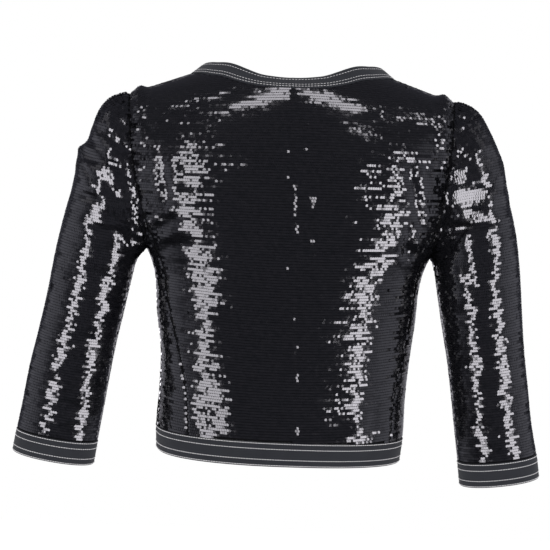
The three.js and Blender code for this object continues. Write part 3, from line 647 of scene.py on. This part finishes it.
def edge_material():
    """The dull bent-in edge of a sequin."""
    n = Nodes(bpy.data.materials.new("sequin_edge"))
    n.set(Base_Color=(0.003, 0.003, 0.0035, 1), Roughness=0.6, Specular_IOR_Level=0.1)
    return n.owner


def ground_material():
    """The black knitted ground: ribs of fine loops."""
    n = Nodes(bpy.data.materials.new("knitted_ground"))
    colour = n.ramp(n.noise(900.0, 3.0), (0.3, (0.004, 0.004, 0.005)), (0.75, (0.012, 0.012, 0.014)))
    n.join(colour, n.shader.inputs["Base Color"])
    wave = n.add("ShaderNodeTexWave", in_Scale=260.0, in_Distortion=1.5, bands_direction="Z")
    n.join(n.add("ShaderNodeTexCoord").outputs["Object"], wave.inputs["Vector"])
    n.bump(wave.outputs["Fac"], 0.4, 0.0003)
    n.set(Roughness=0.85, Specular_IOR_Level=0.25)
    return n.owner


WALE_SCALE = math.pi / 20 / 0.00075  # for wales 0.75 mm apart


def twill_material():
    """Charcoal twill: raised diagonal wales, with paler and darker threads among them."""
    n = Nodes(bpy.data.materials.new("band_twill"))
    uv = n.add("ShaderNodeUVMap", uv_map="Weave").outputs["UV"]
    turned = n.add("ShaderNodeMapping", in_Rotation=(0, 0, math.radians(52)))
    n.join(uv, turned.inputs["Vector"])
    wale = n.add(
        "ShaderNodeTexWave", in_Scale=WALE_SCALE, in_Distortion=0.6, in_Detail=1.0, in_Detail_Scale=3.0
    )
    n.join(turned.outputs["Vector"], wale.inputs["Vector"])
    wales = n.add("ShaderNodeMath", operation="MULTIPLY", in_1=0.55)
    n.join(wale.outputs["Fac"], wales.inputs[0])
    threads = n.add("ShaderNodeMath", operation="MULTIPLY_ADD", in_1=0.35)
    n.join(n.noise(1500.0, 2.0, uv), threads.inputs[0])
    n.join(wales.outputs[0], threads.inputs[2])
    patches = n.add("ShaderNodeMath", operation="MULTIPLY_ADD", in_1=0.3)
    n.join(n.noise(60.0, 3.0, uv), patches.inputs[0])
    n.join(threads.outputs[0], patches.inputs[2])
    colour = n.ramp(patches.outputs[0], (0.2, (0.013, 0.014, 0.018)), (0.95, (0.04, 0.043, 0.051)))
    n.join(colour, n.shader.inputs["Base Color"])
    n.bump(threads.outputs[0], 0.5, 0.0002)
    n.set(Roughness=0.88, Specular_IOR_Level=0.3, Sheen_Weight=0.1)
    return n.owner


def thread_material():
    """Off-white topstitching thread, twisted from two strands."""
    n = Nodes(bpy.data.materials.new("topstitch_thread"))
    colour = n.ramp(n.noise(2400.0, 2.0), (0.3, (0.72, 0.7, 0.71)), (0.7, (0.94, 0.92, 0.93)))
    n.join(colour, n.shader.inputs["Base Color"])
    n.set(Roughness=0.7)
    return n.owner


SEQUIN, EDGE, KNIT = sequin_material(), edge_material(), ground_material()
TWILL, COTTON = twill_material(), thread_material()

# ---- Panels of the body: their cloth ----


def upright(x_at, low, high, side, count):
    """Places up the line that lies x_at(z) out from the middle."""
    z = np.linspace(low, high, count)
    return body_place(x_at(z), z, side)


def opening_at(z):
    """How far a front edge lies from the middle."""
    return np.interp(z, *zip(*OPENING))


def band_edge_at(z):
    return opening_at(z) + FRONT_BAND


def armhole_places(low, high, count):
    """Places of the armhole between two of its steps, counted from its top down the back."""
    return np.stack(armhole_ring(1, np.linspace(low, high, count) * ARM_ANGLE), -1)


def neck_places(low, high, count):
    """Places of the neck seam between two rows of its table: a cubic through the rows."""
    rows = np.array([body_place(x, z, side) for x, z, side, _ in NECK])
    rows[NECK_RIDGE, 1] = 0
    table = np.column_stack([np.arange(len(rows)), rows])
    at = np.linspace(low, high, count)
    return np.stack([read(table, 1, at), read(table, 2, at)], -1)


def patch(bottom, top, left, right):
    """Places inside four edges: the blend of the two pairs of facing edges, less their corners' own blend."""
    u = np.linspace(0, 1, len(bottom))[None, :, None]
    v = np.linspace(0, 1, len(left))[:, None, None]
    sides = left[:, None] * (1 - u) + right[:, None] * u
    ends = bottom[None] * (1 - v) + top[None] * v
    low = bottom[0] * (1 - u) + bottom[-1] * u
    high = top[0] * (1 - u) + top[-1] * u
    return sides + ends - low * (1 - v) - high * v


def joined(*parts):
    """Edges joined end to end, without doubling the point where they meet."""
    return np.concatenate([parts[0]] + [part[1:] for part in parts[1:]])


def body_panels():
    """The left-hand panels as grids of places: back, side back and front."""
    low, up, across = 9 * FINE + 1, 7 * FINE + 1, 10 * FINE + 1
    neck_point, arm_point = neck_places(NECK_RIDGE, NECK_RIDGE, 1)[0], armhole_places(0, 0, 1)[0]
    shoulder = np.linspace(neck_point, arm_point, 4 * FINE + 1)
    seam = upright(side_back_at, BAND_TOP, SEAM_TOP, 1, low)
    seam[-1] = armhole_places(SEAM_STEP, SEAM_STEP, 1)[0]
    centre_low = upright(np.zeros_like, BAND_TOP, SEAM_TOP, 1, low)
    centre = joined(centre_low, np.linspace(centre_low[-1], neck_places(0, 0, 1)[0], up))
    back = patch(
        np.linspace(centre[0], seam[0], across),
        joined(neck_places(0, NECK_RIDGE, 6 * FINE + 1), shoulder),
        centre,
        joined(seam, armhole_places(SEAM_STEP, 0, up)),
    )
    side_seam = upright(half_width_at, BAND_TOP, ARM_BOTTOM, 1, low)
    side_back = patch(
        np.linspace(seam[0], side_seam[0], 5 * FINE + 1),
        armhole_places(SEAM_STEP, UNDERARM, 5 * FINE + 1),
        seam,
        side_seam,
    )
    edge = joined(
        upright(band_edge_at, BAND_TOP, ARM_BOTTOM, -1, low),
        upright(band_edge_at, ARM_BOTTOM, NECK[NECK_PANEL][1], -1, 12 * FINE + 1),
    )
    front_seam = side_seam * [1, -1]
    front = patch(
        np.linspace(edge[0], front_seam[0], across),
        joined(neck_places(NECK_PANEL, NECK_RIDGE, 6 * FINE + 1), shoulder),
        edge,
        joined(front_seam, armhole_places(UNDERARM, ARM_STEPS, 12 * FINE + 1)),
    )
    return {"back": back, "side_back": side_back, "front": front}


for panel, places in body_panels().items():
    for side_name, arm in SIDES:
        points, facing = body_grid(arm * places[..., 0], places[..., 1])
        cloth_piece(f"{panel}_{side_name}_cloth", points, facing)

# ---- Sleeves: their cloth ----

for side_name, arm in SIDES:
    rows = np.linspace(0, CUFF_ROW, CUFF_ROW * FINE + 1)
    angles = np.linspace(0, 2 * math.pi, SLEEVE_COLUMNS + 1)[:-1]
    points, facing, _ = sleeve_grid(arm, rows, angles)
    cloth_piece(f"sleeve_{side_name}_cloth", points, facing, closed=True)

# ---- Sequins ----

# A disc's corners as angles, counted from its own right; its three faces; and which corners are bent in.
DISC = np.radians((20, 66, 114, 160, 212, 249, 291, 328))
DISC_FACES = np.array([(0, 1, 2, 3), (7, 0, 3, 4), (6, 7, 4, 5)])
DISC_LIP = np.array([0, 0, 0, 0, 0, 1, 1, 0])
RUN_LENGTHS = draw.uniform(3, 14, 97)  # how many discs lie alike, for one row after another


def lay_sequins(name, centre, forward, facing, row, place, unease, turned=0.0):
    """Discs strung along rows, each with its lower edge bent in to the cloth. Each leans out over the row
    below; runs of a few discs share one small extra lean, and each has a little of its own. unease, up to 1,
    says where the cloth lies uneasily and they lean more, and turned adds to their sideways lean."""
    up = np.cross(facing, forward)
    up *= np.sign(up[:, 2:3])
    forward = np.cross(up, facing)
    # Each run has a number of its own: its row's times a thousand, and its place in the row.
    runs = row * 1000 + np.floor(place / RUN_LENGTHS[row % len(RUN_LENGTHS)]).astype(int)
    _, run = np.unique(runs, return_inverse=True)
    shared = np.clip(draw.normal(0, 1, (run.max() + 1, 2)), -2, 2)[run]
    own = draw.normal(0, 1, (len(centre), 2))
    own *= np.where(draw.uniform(0, 1, len(centre)) < STRAYS, STRAY_LEAN, 1)[:, None]
    more = 1 + UNEASY_LEAN * unease
    lean_up = SHINGLE + (shared[:, 0] * LEAN_UP[0] + own[:, 0] * LEAN_UP[1]) * more
    lean_side = (shared[:, 1] * LEAN_SIDE[0] + own[:, 1] * LEAN_SIDE[1]) * more + turned
    tilted = unit(facing + up * np.tan(lean_up)[:, None] + forward * np.tan(lean_side)[:, None])
    first = unit(np.cross(up, tilted))
    second = np.cross(tilted, first)
    radius = SEQUIN_RADIUS * draw.uniform(0.97, 1.03, len(centre))[:, None, None]
    rim = np.cos(DISC)[:, None] * first[:, None] + np.sin(DISC)[:, None] * second[:, None]
    lip = tilted[:, None] * (DISC_LIP * LIP)[:, None]
    vertices = (centre[:, None] + rim * radius - lip).reshape(-1, 3)
    number = np.arange(len(centre))
    faces = (number[:, None, None] * len(DISC) + DISC_FACES).reshape(-1, 4)
    cells = math.ceil(math.sqrt(len(centre)))
    cell = np.stack([number % cells, number // cells], -1)[:, None] + 0.5
    uv = (cell + 0.4 * np.stack([np.cos(DISC), np.sin(DISC)], -1)) / cells
    piece = mesh_piece(name, vertices, faces, SEQUIN, uv.reshape(-1, 2), "OFBake", False)
    piece.data.materials.append(EDGE)
    piece.data.polygons.foreach_set("material_index", np.tile([0, 0, 1], len(centre)))
    return piece


# The sequins of the body and of either sleeve that face the lights behind the jacket (1) or before it (-1).
lit = {
    (part, side): bpy.data.collections.new(f"{part}_lit_from_{'behind' if side > 0 else 'before'}")
    for part in ("body", "left", "right")
    for side in (1, -1)
}


def rows_over(points, run, numbers, closed):
    """Places along level rows of a grid. run holds, for each grid point, how far it lies down its column;
    row k joins the places where run is k steps. Gives row and place numbers and the grid indices there."""
    columns = np.arange(points.shape[1])
    levels = np.array(numbers) * SEQUIN_ROWS
    rising = np.arange(points.shape[0], dtype=float)
    across = np.stack([np.interp(levels, run[:, i], rising, left=np.nan, right=np.nan) for i in columns], -1)
    found = []
    for k, line in zip(numbers, across):
        known = ~np.isnan(line)
        if known.sum() < 3:
            continue
        full = np.interp(columns, columns[known], line[known])
        length = lengths(sample(points, full, columns.astype(float)))
        middle = length[-1] / 2
        offset = (k % 2) * 0.5 + draw.uniform(-0.2, 0.2)
        number = np.arange(-int(middle / SEQUIN_STEP), int(middle / SEQUIN_STEP) + 1)
        hole = middle + (number + offset) * SEQUIN_STEP
        inside = (hole > 0) & (hole < length[-1] - (SEQUIN_STEP * 0.6 if closed else 0))
        column = np.interp(hole[inside], length, columns)
        keep = known[np.round(column).astype(int)]
        number, column = number[inside][keep], column[keep]
        level = np.interp(column, columns, full)
        found.append(np.stack([np.full(len(column), k), number, level, column], -1))
    return np.concatenate(found)


def sample(grid, row, column):
    """Values of a grid between its points, from the four around each place."""
    j = np.clip(np.floor(row).astype(int), 0, grid.shape[0] - 2)
    i = np.clip(np.floor(column).astype(int), 0, grid.shape[1] - 2)
    v, u = (row - j)[..., None], (column - i)[..., None]
    top = grid[j, i] * (1 - u) + grid[j, i + 1] * u
    bottom = grid[j + 1, i] * (1 - u) + grid[j + 1, i + 1] * u
    return top * (1 - v) + bottom * v


def body_sequins(side):
    """Rows over the whole back or the whole front, counted from chest level, shared out to the panels and
    kept off their seams."""
    turns, downs = np.meshgrid(np.linspace(-1, 1, BODY_GRID), side * np.linspace(0.0, 2.0, BODY_GRID))
    points, _ = body_grid(turns, downs)
    facing = away_from(MIDDLE, points, normals(points))
    bare = body(turns, downs)
    run = lengths(worn(bare))
    row, place, j, i = rows_over(points, run - run[BODY_GRID // 2], BODY_ROWS, False).T
    x, y, z = sample(bare, j, i).T
    centre, out = sample(points, j, i), unit(sample(facing, j, i))
    ahead = unit(sample(np.gradient(points, axis=1), j, i))
    beyond, gap = np.abs(x), SEQUIN_MARGIN
    arm_edge = armhole_at(np.minimum(z, ARM_TOP), side)
    neck_rows = np.array([(nx, nz) for nx, nz, s, _ in NECK if s == side])
    order = np.argsort(neck_rows[:, 0])
    # Beyond the neck's width its line is put above the whole jacket.
    neck_line = np.interp(beyond, neck_rows[order, 0], neck_rows[order, 1], right=99)
    unease = np.where(z > ARM_BOTTOM, np.exp(-((arm_edge - beyond) / PUCKER) ** 2), 0)
    # More evenly below the neck, and less evenly over the shoulder blades.
    unease -= CALM * smooth(z, -75, -50) * (1 - smooth(beyond, 80, 110))
    unease += CALM * smooth(z, -160, -110) * (1 - smooth(z, -45, -20)) * smooth(beyond, 70, 95)
    on = (z > BAND_TOP + gap) & (z < neck_line - gap) & (np.abs(y - SHOULDER_Y) > gap)
    on &= (z < ARM_BOTTOM) | (beyond < arm_edge - gap)
    if side > 0:
        edge = side_back_at(z)
        low = z < SEAM_TOP
        panels = {"back": on & (~low | (beyond < edge - gap)), "side_back": on & low & (beyond > edge + gap)}
    else:
        panels = {"front": on & (beyond > band_edge_at(z) + SEAM_GAP)}
    height, drift_left, drift_right = np.array(DRIFT).T
    on_left = smooth(x, -20, 20)
    drift = np.interp(z, height, drift_left) * on_left + np.interp(z, height, drift_right) * (1 - on_left)
    turned = np.radians(drift)
    for *place_turned, lean_side in TURNED if side > 0 else ():
        turned += spot(x, z, place_turned) * math.radians(lean_side)
    values = (centre, ahead, out, row.astype(int), place, unease, turned)
    for panel, chosen in panels.items():
        for side_name, arm in SIDES:
            pick = chosen & (arm * x > 0)
            piece = lay_sequins(f"{panel}_{side_name}_sequins", *(value[pick] for value in values))
            lit["body", side].objects.link(piece)


body_sequins(1)
body_sequins(-1)


def sleeve_sequins(side_name, arm):
    """Rows round a sleeve at even steps from the cuff, cut off by the armhole."""
    angles = np.linspace(0, 2 * math.pi, SLEEVE_GRID[1] + 1)
    points, _, run = sleeve_grid(arm, np.linspace(0, CUFF_ROW, SLEEVE_GRID[0]), angles[:-1])
    points, run = (np.concatenate([grid, grid[:, :1]], 1)[::-1] for grid in (points, run))
    facing = away_from(points.mean(1, keepdims=True), points, normals(points))
    facing[:, -1] = facing[:, 0] = unit(facing[:, 0] + facing[:, -1])
    run = run[:1] - run
    rising = run + np.linspace(0, 1e-6, len(run))[:, None]
    row, place, j, i = rows_over(points, rising, SLEEVE_ROWS, True).T
    from_cuff = sample(run[..., None], j, i)[:, 0]
    from_armhole = np.interp(i, np.arange(len(angles)), run[-1]) - from_cuff
    centre, out = sample(points, j, i), unit(sample(facing, j, i))
    ahead = unit(sample(np.gradient(points, axis=1), j, i))
    unease = np.exp(-((from_armhole / SLEEVE_PUCKER) ** 2))
    for *flat, azimuth, elevation in FLATS:
        near = (FLAT_SHARE * spot(centre[:, 0], centre[:, 2], flat, 8) * (out[:, 1] > 0))[:, None]
        out = unit(out * (1 - near) + way_of(azimuth, elevation) * near)
        unease *= 1 - near[:, 0]
    values = (centre, ahead, out, row.astype(int), place, unease)
    for half, sign in (("back", 1), ("front", -1)):
        pick = (from_cuff > SEQUIN_MARGIN) & (from_armhole > SEQUIN_MARGIN) & (sign * out[:, 1] > 0)
        piece = lay_sequins(f"sleeve_{side_name}_{half}_sequins", *(value[pick] for value in values))
        lit[side_name, sign].objects.link(piece)


for side_name, arm in SIDES:
    sleeve_sequins(side_name, arm)

# ---- Bands ----


def band_profile(width):
    """The cross section of a folded band as pairs: how far down it and how far out of its surface. The outer
    face swells a little between its edges, and both edges are rounded."""
    face = np.linspace(BAND_ROUND, width - BAND_ROUND, FACE_POINTS)
    swell = BAND_PROUD + BAND_SWELL * np.sin((face - BAND_ROUND) / (width - 2 * BAND_ROUND) * math.pi) ** 0.5
    turn = np.linspace(0, math.pi, EDGE_POINTS + 2)[1:-1]
    middle, half = BAND_PROUD - BAND_CLOTH / 2, BAND_CLOTH / 2
    low = np.stack([width - BAND_ROUND + BAND_ROUND * np.sin(turn), middle + half * np.cos(turn)], -1)
    high = np.stack([BAND_ROUND - BAND_ROUND * np.sin(turn), middle - half * np.cos(turn)], -1)
    inner = np.stack([face[::-1], np.full(FACE_POINTS, BAND_PROUD - BAND_CLOTH)], -1)
    return np.concatenate([np.stack([face, swell], -1), low, inner, high])


def band_piece(name, points, facing, width, closed=False):
    """A band over a grid of points, rows across it and columns along it: its cross section carried along."""
    profile = band_profile(width)
    rows, columns = points.shape[:2]
    j, i = np.meshgrid(profile[:, 0] / width * (rows - 1), np.arange(columns, dtype=float), indexing="ij")
    ring = sample(points, j, i) + sample(facing, j, i) * profile[:, 1][:, None, None]
    run = lengths(points[rows // 2])
    uv = np.stack(np.broadcast_arrays(run[:, None], profile[None, :, 0]), -1) * MM
    loops = ring.transpose(1, 0, 2)
    if closed:
        loops, uv = loops[:-1], uv[:-1]
    piece = loop_piece(f"{name}_cloth", loops, TWILL, closed, uv.reshape(-1, 2))
    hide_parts(name)


# A stitch's rings: how far along it each lies, as a share of its length, and how thick it is there. Then the
# faces of its bead, each ring having six points.
STITCH_RING = np.array([(-0.5, 0.3), (-0.32, 0.9), (0.0, 1.0), (0.32, 0.9), (0.5, 0.3)])
BEAD_ROUND = 6
BEAD_CAPS = [(0, 1, 2, 3), (0, 3, 4, 5), (27, 26, 25, 24), (29, 28, 27, 24)]
BEAD_FACES = np.concatenate([grid_faces(len(STITCH_RING), BEAD_ROUND, False, True), BEAD_CAPS])


def stitch_piece(name, points, facing, width, rows_down, stitch, closed=False):
    """Topstitching along a band: beads of thread end to end, thinner at both ends, where they dip into the
    cloth."""
    length, gap, thickness = stitch
    along, thick = STITCH_RING.T
    around = np.linspace(0, 2 * math.pi, BEAD_ROUND + 1)[:-1]
    columns = np.arange(points.shape[1], dtype=float)
    trim = 0 if closed else STITCH_TRIM
    beads = []
    for down in rows_down:
        at = np.full(len(columns), down / width * (points.shape[0] - 1))
        line, out = sample(points, at, columns), unit(sample(facing, at, columns))
        run = lengths(line)
        count = int((run[-1] - 2 * trim) / (length + gap))
        pace = (run[-1] - 2 * trim) / count
        ends = (trim + (np.arange(count) + 0.5) * pace)[:, None] + along * length
        where = np.stack([np.interp(ends, run, line[:, k]) for k in range(3)], -1)
        up = unit(np.stack([np.interp(ends, run, out[:, k]) for k in range(3)], -1))
        aside = np.cross(up, unit(np.gradient(where, axis=1)))
        middle = where + up * (BAND_PROUD + STITCH_LIFT - (1 - thick) * STITCH_DIP)[:, None]
        ring = np.cos(around)[:, None] * up[:, :, None] + np.sin(around)[:, None] * aside[:, :, None]
        beads.append((middle[:, :, None] + ring * (thick * thickness)[:, None, None]).reshape(count, -1, 3))
    beads = np.concatenate(beads)
    vertices = beads.reshape(-1, 3)
    faces = (BEAD_FACES + np.arange(len(beads))[:, None, None] * beads.shape[1]).reshape(-1, 4)
    piece = mesh_piece(f"{name}_stitches", vertices, outward_faces(vertices, faces), COTTON)


def hem_band():
    """The hem band from the right front edge round the back to the left one."""
    half = []
    for z in np.linspace(BAND_TOP, HEM, BAND_ROWS):
        edge = body_place(band_edge_at(z), z, -1)
        front = body_place(half_width_at(z), z, -1)
        seam = body_place(side_back_at(z), z, 1)
        centre = body_place(0, z, 1)
        parts = ((edge, front, 10), (front * [1, -1], seam, 5), (seam, centre, 10))
        half.append(joined(*(np.linspace(start, end, steps * FINE + 1) for start, end, steps in parts)))
    half = np.array(half)
    # The side seam's place is 1 across both behind and in front, so front and back meet there.
    places = np.concatenate([half, (half * [-1, 1])[:, ::-1][:, 1:]], 1)
    return body_grid(places[..., 0], places[..., 1], relief=False)


def front_band(arm):
    """A front band from the hem to the neck, from the front edge outwards."""
    low = np.linspace(HEM, BAND_TOP, BAND_ROWS)[:-1]
    z = np.concatenate([low, np.linspace(BAND_TOP, NECK[NECK_PANEL][1], FRONT_COLUMNS)])
    places = np.linspace(body_place(opening_at(z), z, -1), body_place(band_edge_at(z), z, -1), BAND_ROWS)
    return body_grid(arm * places[..., 0], places[..., 1], relief=False)


def cuff_band(arm):
    """A cuff band round the end of a sleeve, its last column on its first."""
    angles = np.linspace(0, 2 * math.pi, CUFF_COLUMNS + 1)[:-1]
    points = sleeve_plain(arm, np.linspace(CUFF_ROW, LAST_ROW, BAND_ROWS), angles)
    facing = away_from(points.mean(1, keepdims=True), points, normals(points, closed=True))
    return (np.concatenate([grid, grid[:, :1]], 1) for grid in (points, facing))


def neck_band():
    """The neck band standing from its seam: square to the seam, leaning in towards the neck."""
    last = len(NECK) - 1
    half = neck_places(0, last, last * FINE + 1)
    places = np.concatenate([(half * [-1, 1])[::-1], half[1:]])
    seam = worn(body(places[:, 0], places[:, 1]))
    leans = np.column_stack([np.arange(last + 1), [row[3] for row in NECK]])
    lean = np.radians(read(leans, 1, np.linspace(0, last, len(half))))
    lean = np.concatenate([lean[::-1], lean[1:]])[:, None]
    ahead = unit(np.gradient(seam, axis=0))
    inwards = unit(np.cross(ahead, [0, 0, 1]))
    stand = inwards * np.cos(lean) + np.array([0, 0, 1]) * np.sin(lean)
    stand = unit(stand - ahead * np.sum(stand * ahead, -1, keepdims=True))
    rise = np.linspace(NECK_BAND + SEAM_GAP, -NECK_OVER, BAND_ROWS)[:, None, None]
    grid = seam[None] + stand[None] * rise
    facing = away_from(MIDDLE, seam, unit(np.cross(stand, ahead)))
    return grid, np.broadcast_to(facing[None], grid.shape).copy()


def stitched_band(name, grids, width, rows_down, stitch, closed=False):
    """A band and its topstitching over one pair of grids, of points and of the way each faces."""
    points, facing = grids
    band_piece(name, points, facing, width, closed)
    stitch_piece(name, points, facing, width, rows_down, stitch, closed)


stitched_band("hem_band", hem_band(), HEM_BAND, HEM_STITCHES, HEM_STITCH)
for side_name, arm in SIDES:
    stitched_band(f"front_band_{side_name}", front_band(arm), FRONT_BAND, NECK_STITCHES, NECK_STITCH)
    stitched_band(f"cuff_band_{side_name}", cuff_band(arm), HEM_BAND, HEM_STITCHES, HEM_STITCH, closed=True)
stitched_band("neck_band", neck_band(), NECK_ACROSS, NECK_STITCHES, NECK_STITCH)

# ---- Floor, light and camera ----


def floor():
    size, level = 9.0, -2.6
    mesh = bpy.data.meshes.new("floor")
    corners = [(x * size, y * size, level) for x, y in ((-1, -1), (1, -1), (1, 1), (-1, 1))]
    mesh.from_pydata(corners, [], [(0, 1, 2, 3)])
    n = Nodes(bpy.data.materials.new("floor_paint"))
    n.set(Base_Color=(0.92, 0.92, 0.92, 1), Roughness=0.9)
    n.set(Emission_Color=(1, 1, 1, 1), Emission_Strength=0.35)
    mesh.materials.append(n.owner)
    plane = bpy.data.objects.new("floor", mesh)
    plane.visible_glossy = False
    bpy.context.scene.collection.objects.link(plane)


def softbox(side, name, part, azimuth, elevation, wide, tall, radiance):
    """A rectangular light facing the jacket from anywhere, for the sequins of the body or of one sleeve that
    face back (side 1) or forward (-1). Azimuth is from straight behind or before it towards +X. Its power is
    its radiance times its area times pi."""
    way = Vector(way_of(azimuth if side > 0 else 180 - azimuth, elevation))
    light = bpy.data.lights.new(name, "AREA")
    light.shape, light.size, light.size_y = "RECTANGLE", wide, tall
    light.energy = radiance * math.pi * wide * tall
    light.color = LAMP_COLOUR
    holder = bpy.data.objects.new(name, light)
    holder.location = LAMP_AIM + way * LAMP_DISTANCE
    holder.rotation_euler = way.to_track_quat("Z", "Y").to_euler()
    holder.light_linking.receiver_collection = lit[part, side]
    bpy.context.scene.collection.objects.link(holder)


def world():
    """White to the eye and even for cloth; for gloss, black below, dark before and behind, and paler to the
    sides."""
    made = bpy.data.worlds.new("studio")
    bpy.context.scene.world = made
    n = Nodes(made)
    n.tree.nodes.clear()
    split = n.add("ShaderNodeSeparateXYZ")
    n.join(n.add("ShaderNodeTexCoord").outputs["Generated"], split.inputs[0])
    aside = n.add("ShaderNodeMath", operation="ABSOLUTE")
    n.join(split.outputs["X"], aside.inputs[0])
    height = n.add("ShaderNodeMapRange", in_From_Min=-0.55, in_From_Max=-0.3)
    n.join(split.outputs["Z"], height.inputs["Value"])
    around = n.ramp(aside.outputs[0], (0.76, (0.096, 0.097, 0.122)), (0.97, (0.62, 0.62, 0.72)))
    gloss = n.mix(height.outputs[0], (0, 0, 0, 1), around)
    path = n.add("ShaderNodeLightPath")
    light = n.mix(path.outputs["Is Glossy Ray"], (0.85, 0.85, 0.87, 1), gloss)
    seen = n.mix(path.outputs["Is Camera Ray"], light, (1, 1, 1, 1))
    sky = n.add("ShaderNodeBackground")
    n.join(seen, sky.inputs[0])
    n.join(sky.outputs[0], n.add("ShaderNodeOutputWorld").inputs[0])


def camera():
    """Behind the jacket, a little above its middle, turned about its own axis."""
    eye, aim = Vector((0.0115, 2.4, 0.04)), Vector((0.0115, 0, -0.209))
    sensor, view, roll = 36, 0.6435, math.radians(2.3)  # view is how wide it takes in at the jacket
    ahead = (aim - eye).normalized()
    right = ahead.cross(Vector((0, 0, 1))).normalized()
    up = right.cross(ahead)
    right, up = right * math.cos(roll) + up * math.sin(roll), up * math.cos(roll) - right * math.sin(roll)
    data = bpy.data.cameras.new("camera")
    data.sensor_width = sensor
    data.lens = sensor * eye.y / view
    holder = bpy.data.objects.new("camera", data)
    holder.matrix_world = Matrix((
        (right.x, up.x, -ahead.x, eye.x),
        (right.y, up.y, -ahead.y, eye.y),
        (right.z, up.z, -ahead.z, eye.z),
        (0, 0, 0, 1),
    ))
    bpy.context.scene.collection.objects.link(holder)
    bpy.context.scene.camera = holder


LAMP_COLOUR = (0.957, 0.93, 1.0)
LAMP_DISTANCE, LAMP_AIM = 3.2, Vector((0, 0, -0.2))
# Each light: name, what it lights, azimuth, elevation, width, height, radiance.
LIGHTS_BOTH_SIDES = (
    ("strip_left", "body", 38, 8.5, 0.95, 3.3, 7.1),
    ("strip_right", "body", -48.5, 0, 0.66, 2.8, 10.0),
    ("high_left", "body", 31, 60.5, 0.6, 0.68, 6.8),
    ("high_right", "body", -39, 61, 0.6, 0.68, 6.8),
    ("left_sleeve_outer", "left", 33, 8, 1.0, 3.2, 9.4),
    ("left_sleeve_inner", "left", -46, -8, 1.05, 3.6, 9.4),
    ("right_sleeve_outer", "right", -45, 0, 1.05, 2.8, 9.4),
    ("right_sleeve_inner", "right", 25, -8, 0.8, 3.6, 9.4),
)
LIGHTS_ONE_SIDE = (
    (1, "edge_left", "body", 143, 0, 3.0, 3.2, 0.42),
    (1, "edge_right", "body", -143, 0, 3.0, 3.2, 0.42),
    (-1, "edge_left_front", "body", 17, 0, 1.5, 3.2, 0.5),
    (1, "left_cap", "left", 65, 42, 1.8, 1.8, 0.5),
    (1, "right_cap", "right", -65, 42, 1.8, 1.8, 0.4),
    (1, "left_sleeve_edge", "left", -160, 0, 0.9, 3.2, 0.9),
    (1, "right_sleeve_edge", "right", 160, 0, 0.9, 3.2, 0.9),
    (1, "glint_left", "body", 76, 62, 0.4, 0.16, 8.0),
    (1, "glint_right", "body", -72, 50, 0.22, 0.6, 8.0),
    (1, "glint_right_low", "body", -33, 43, 0.16, 0.3, 8.0),
)

floor()
world()
camera()
for side in (1, -1):
    for light in LIGHTS_BOTH_SIDES:
        softbox(side, *light)
for side_and_light in LIGHTS_ONE_SIDE:
    softbox(*side_and_light)
bpy.context.scene.view_settings.view_transform = "Standard"
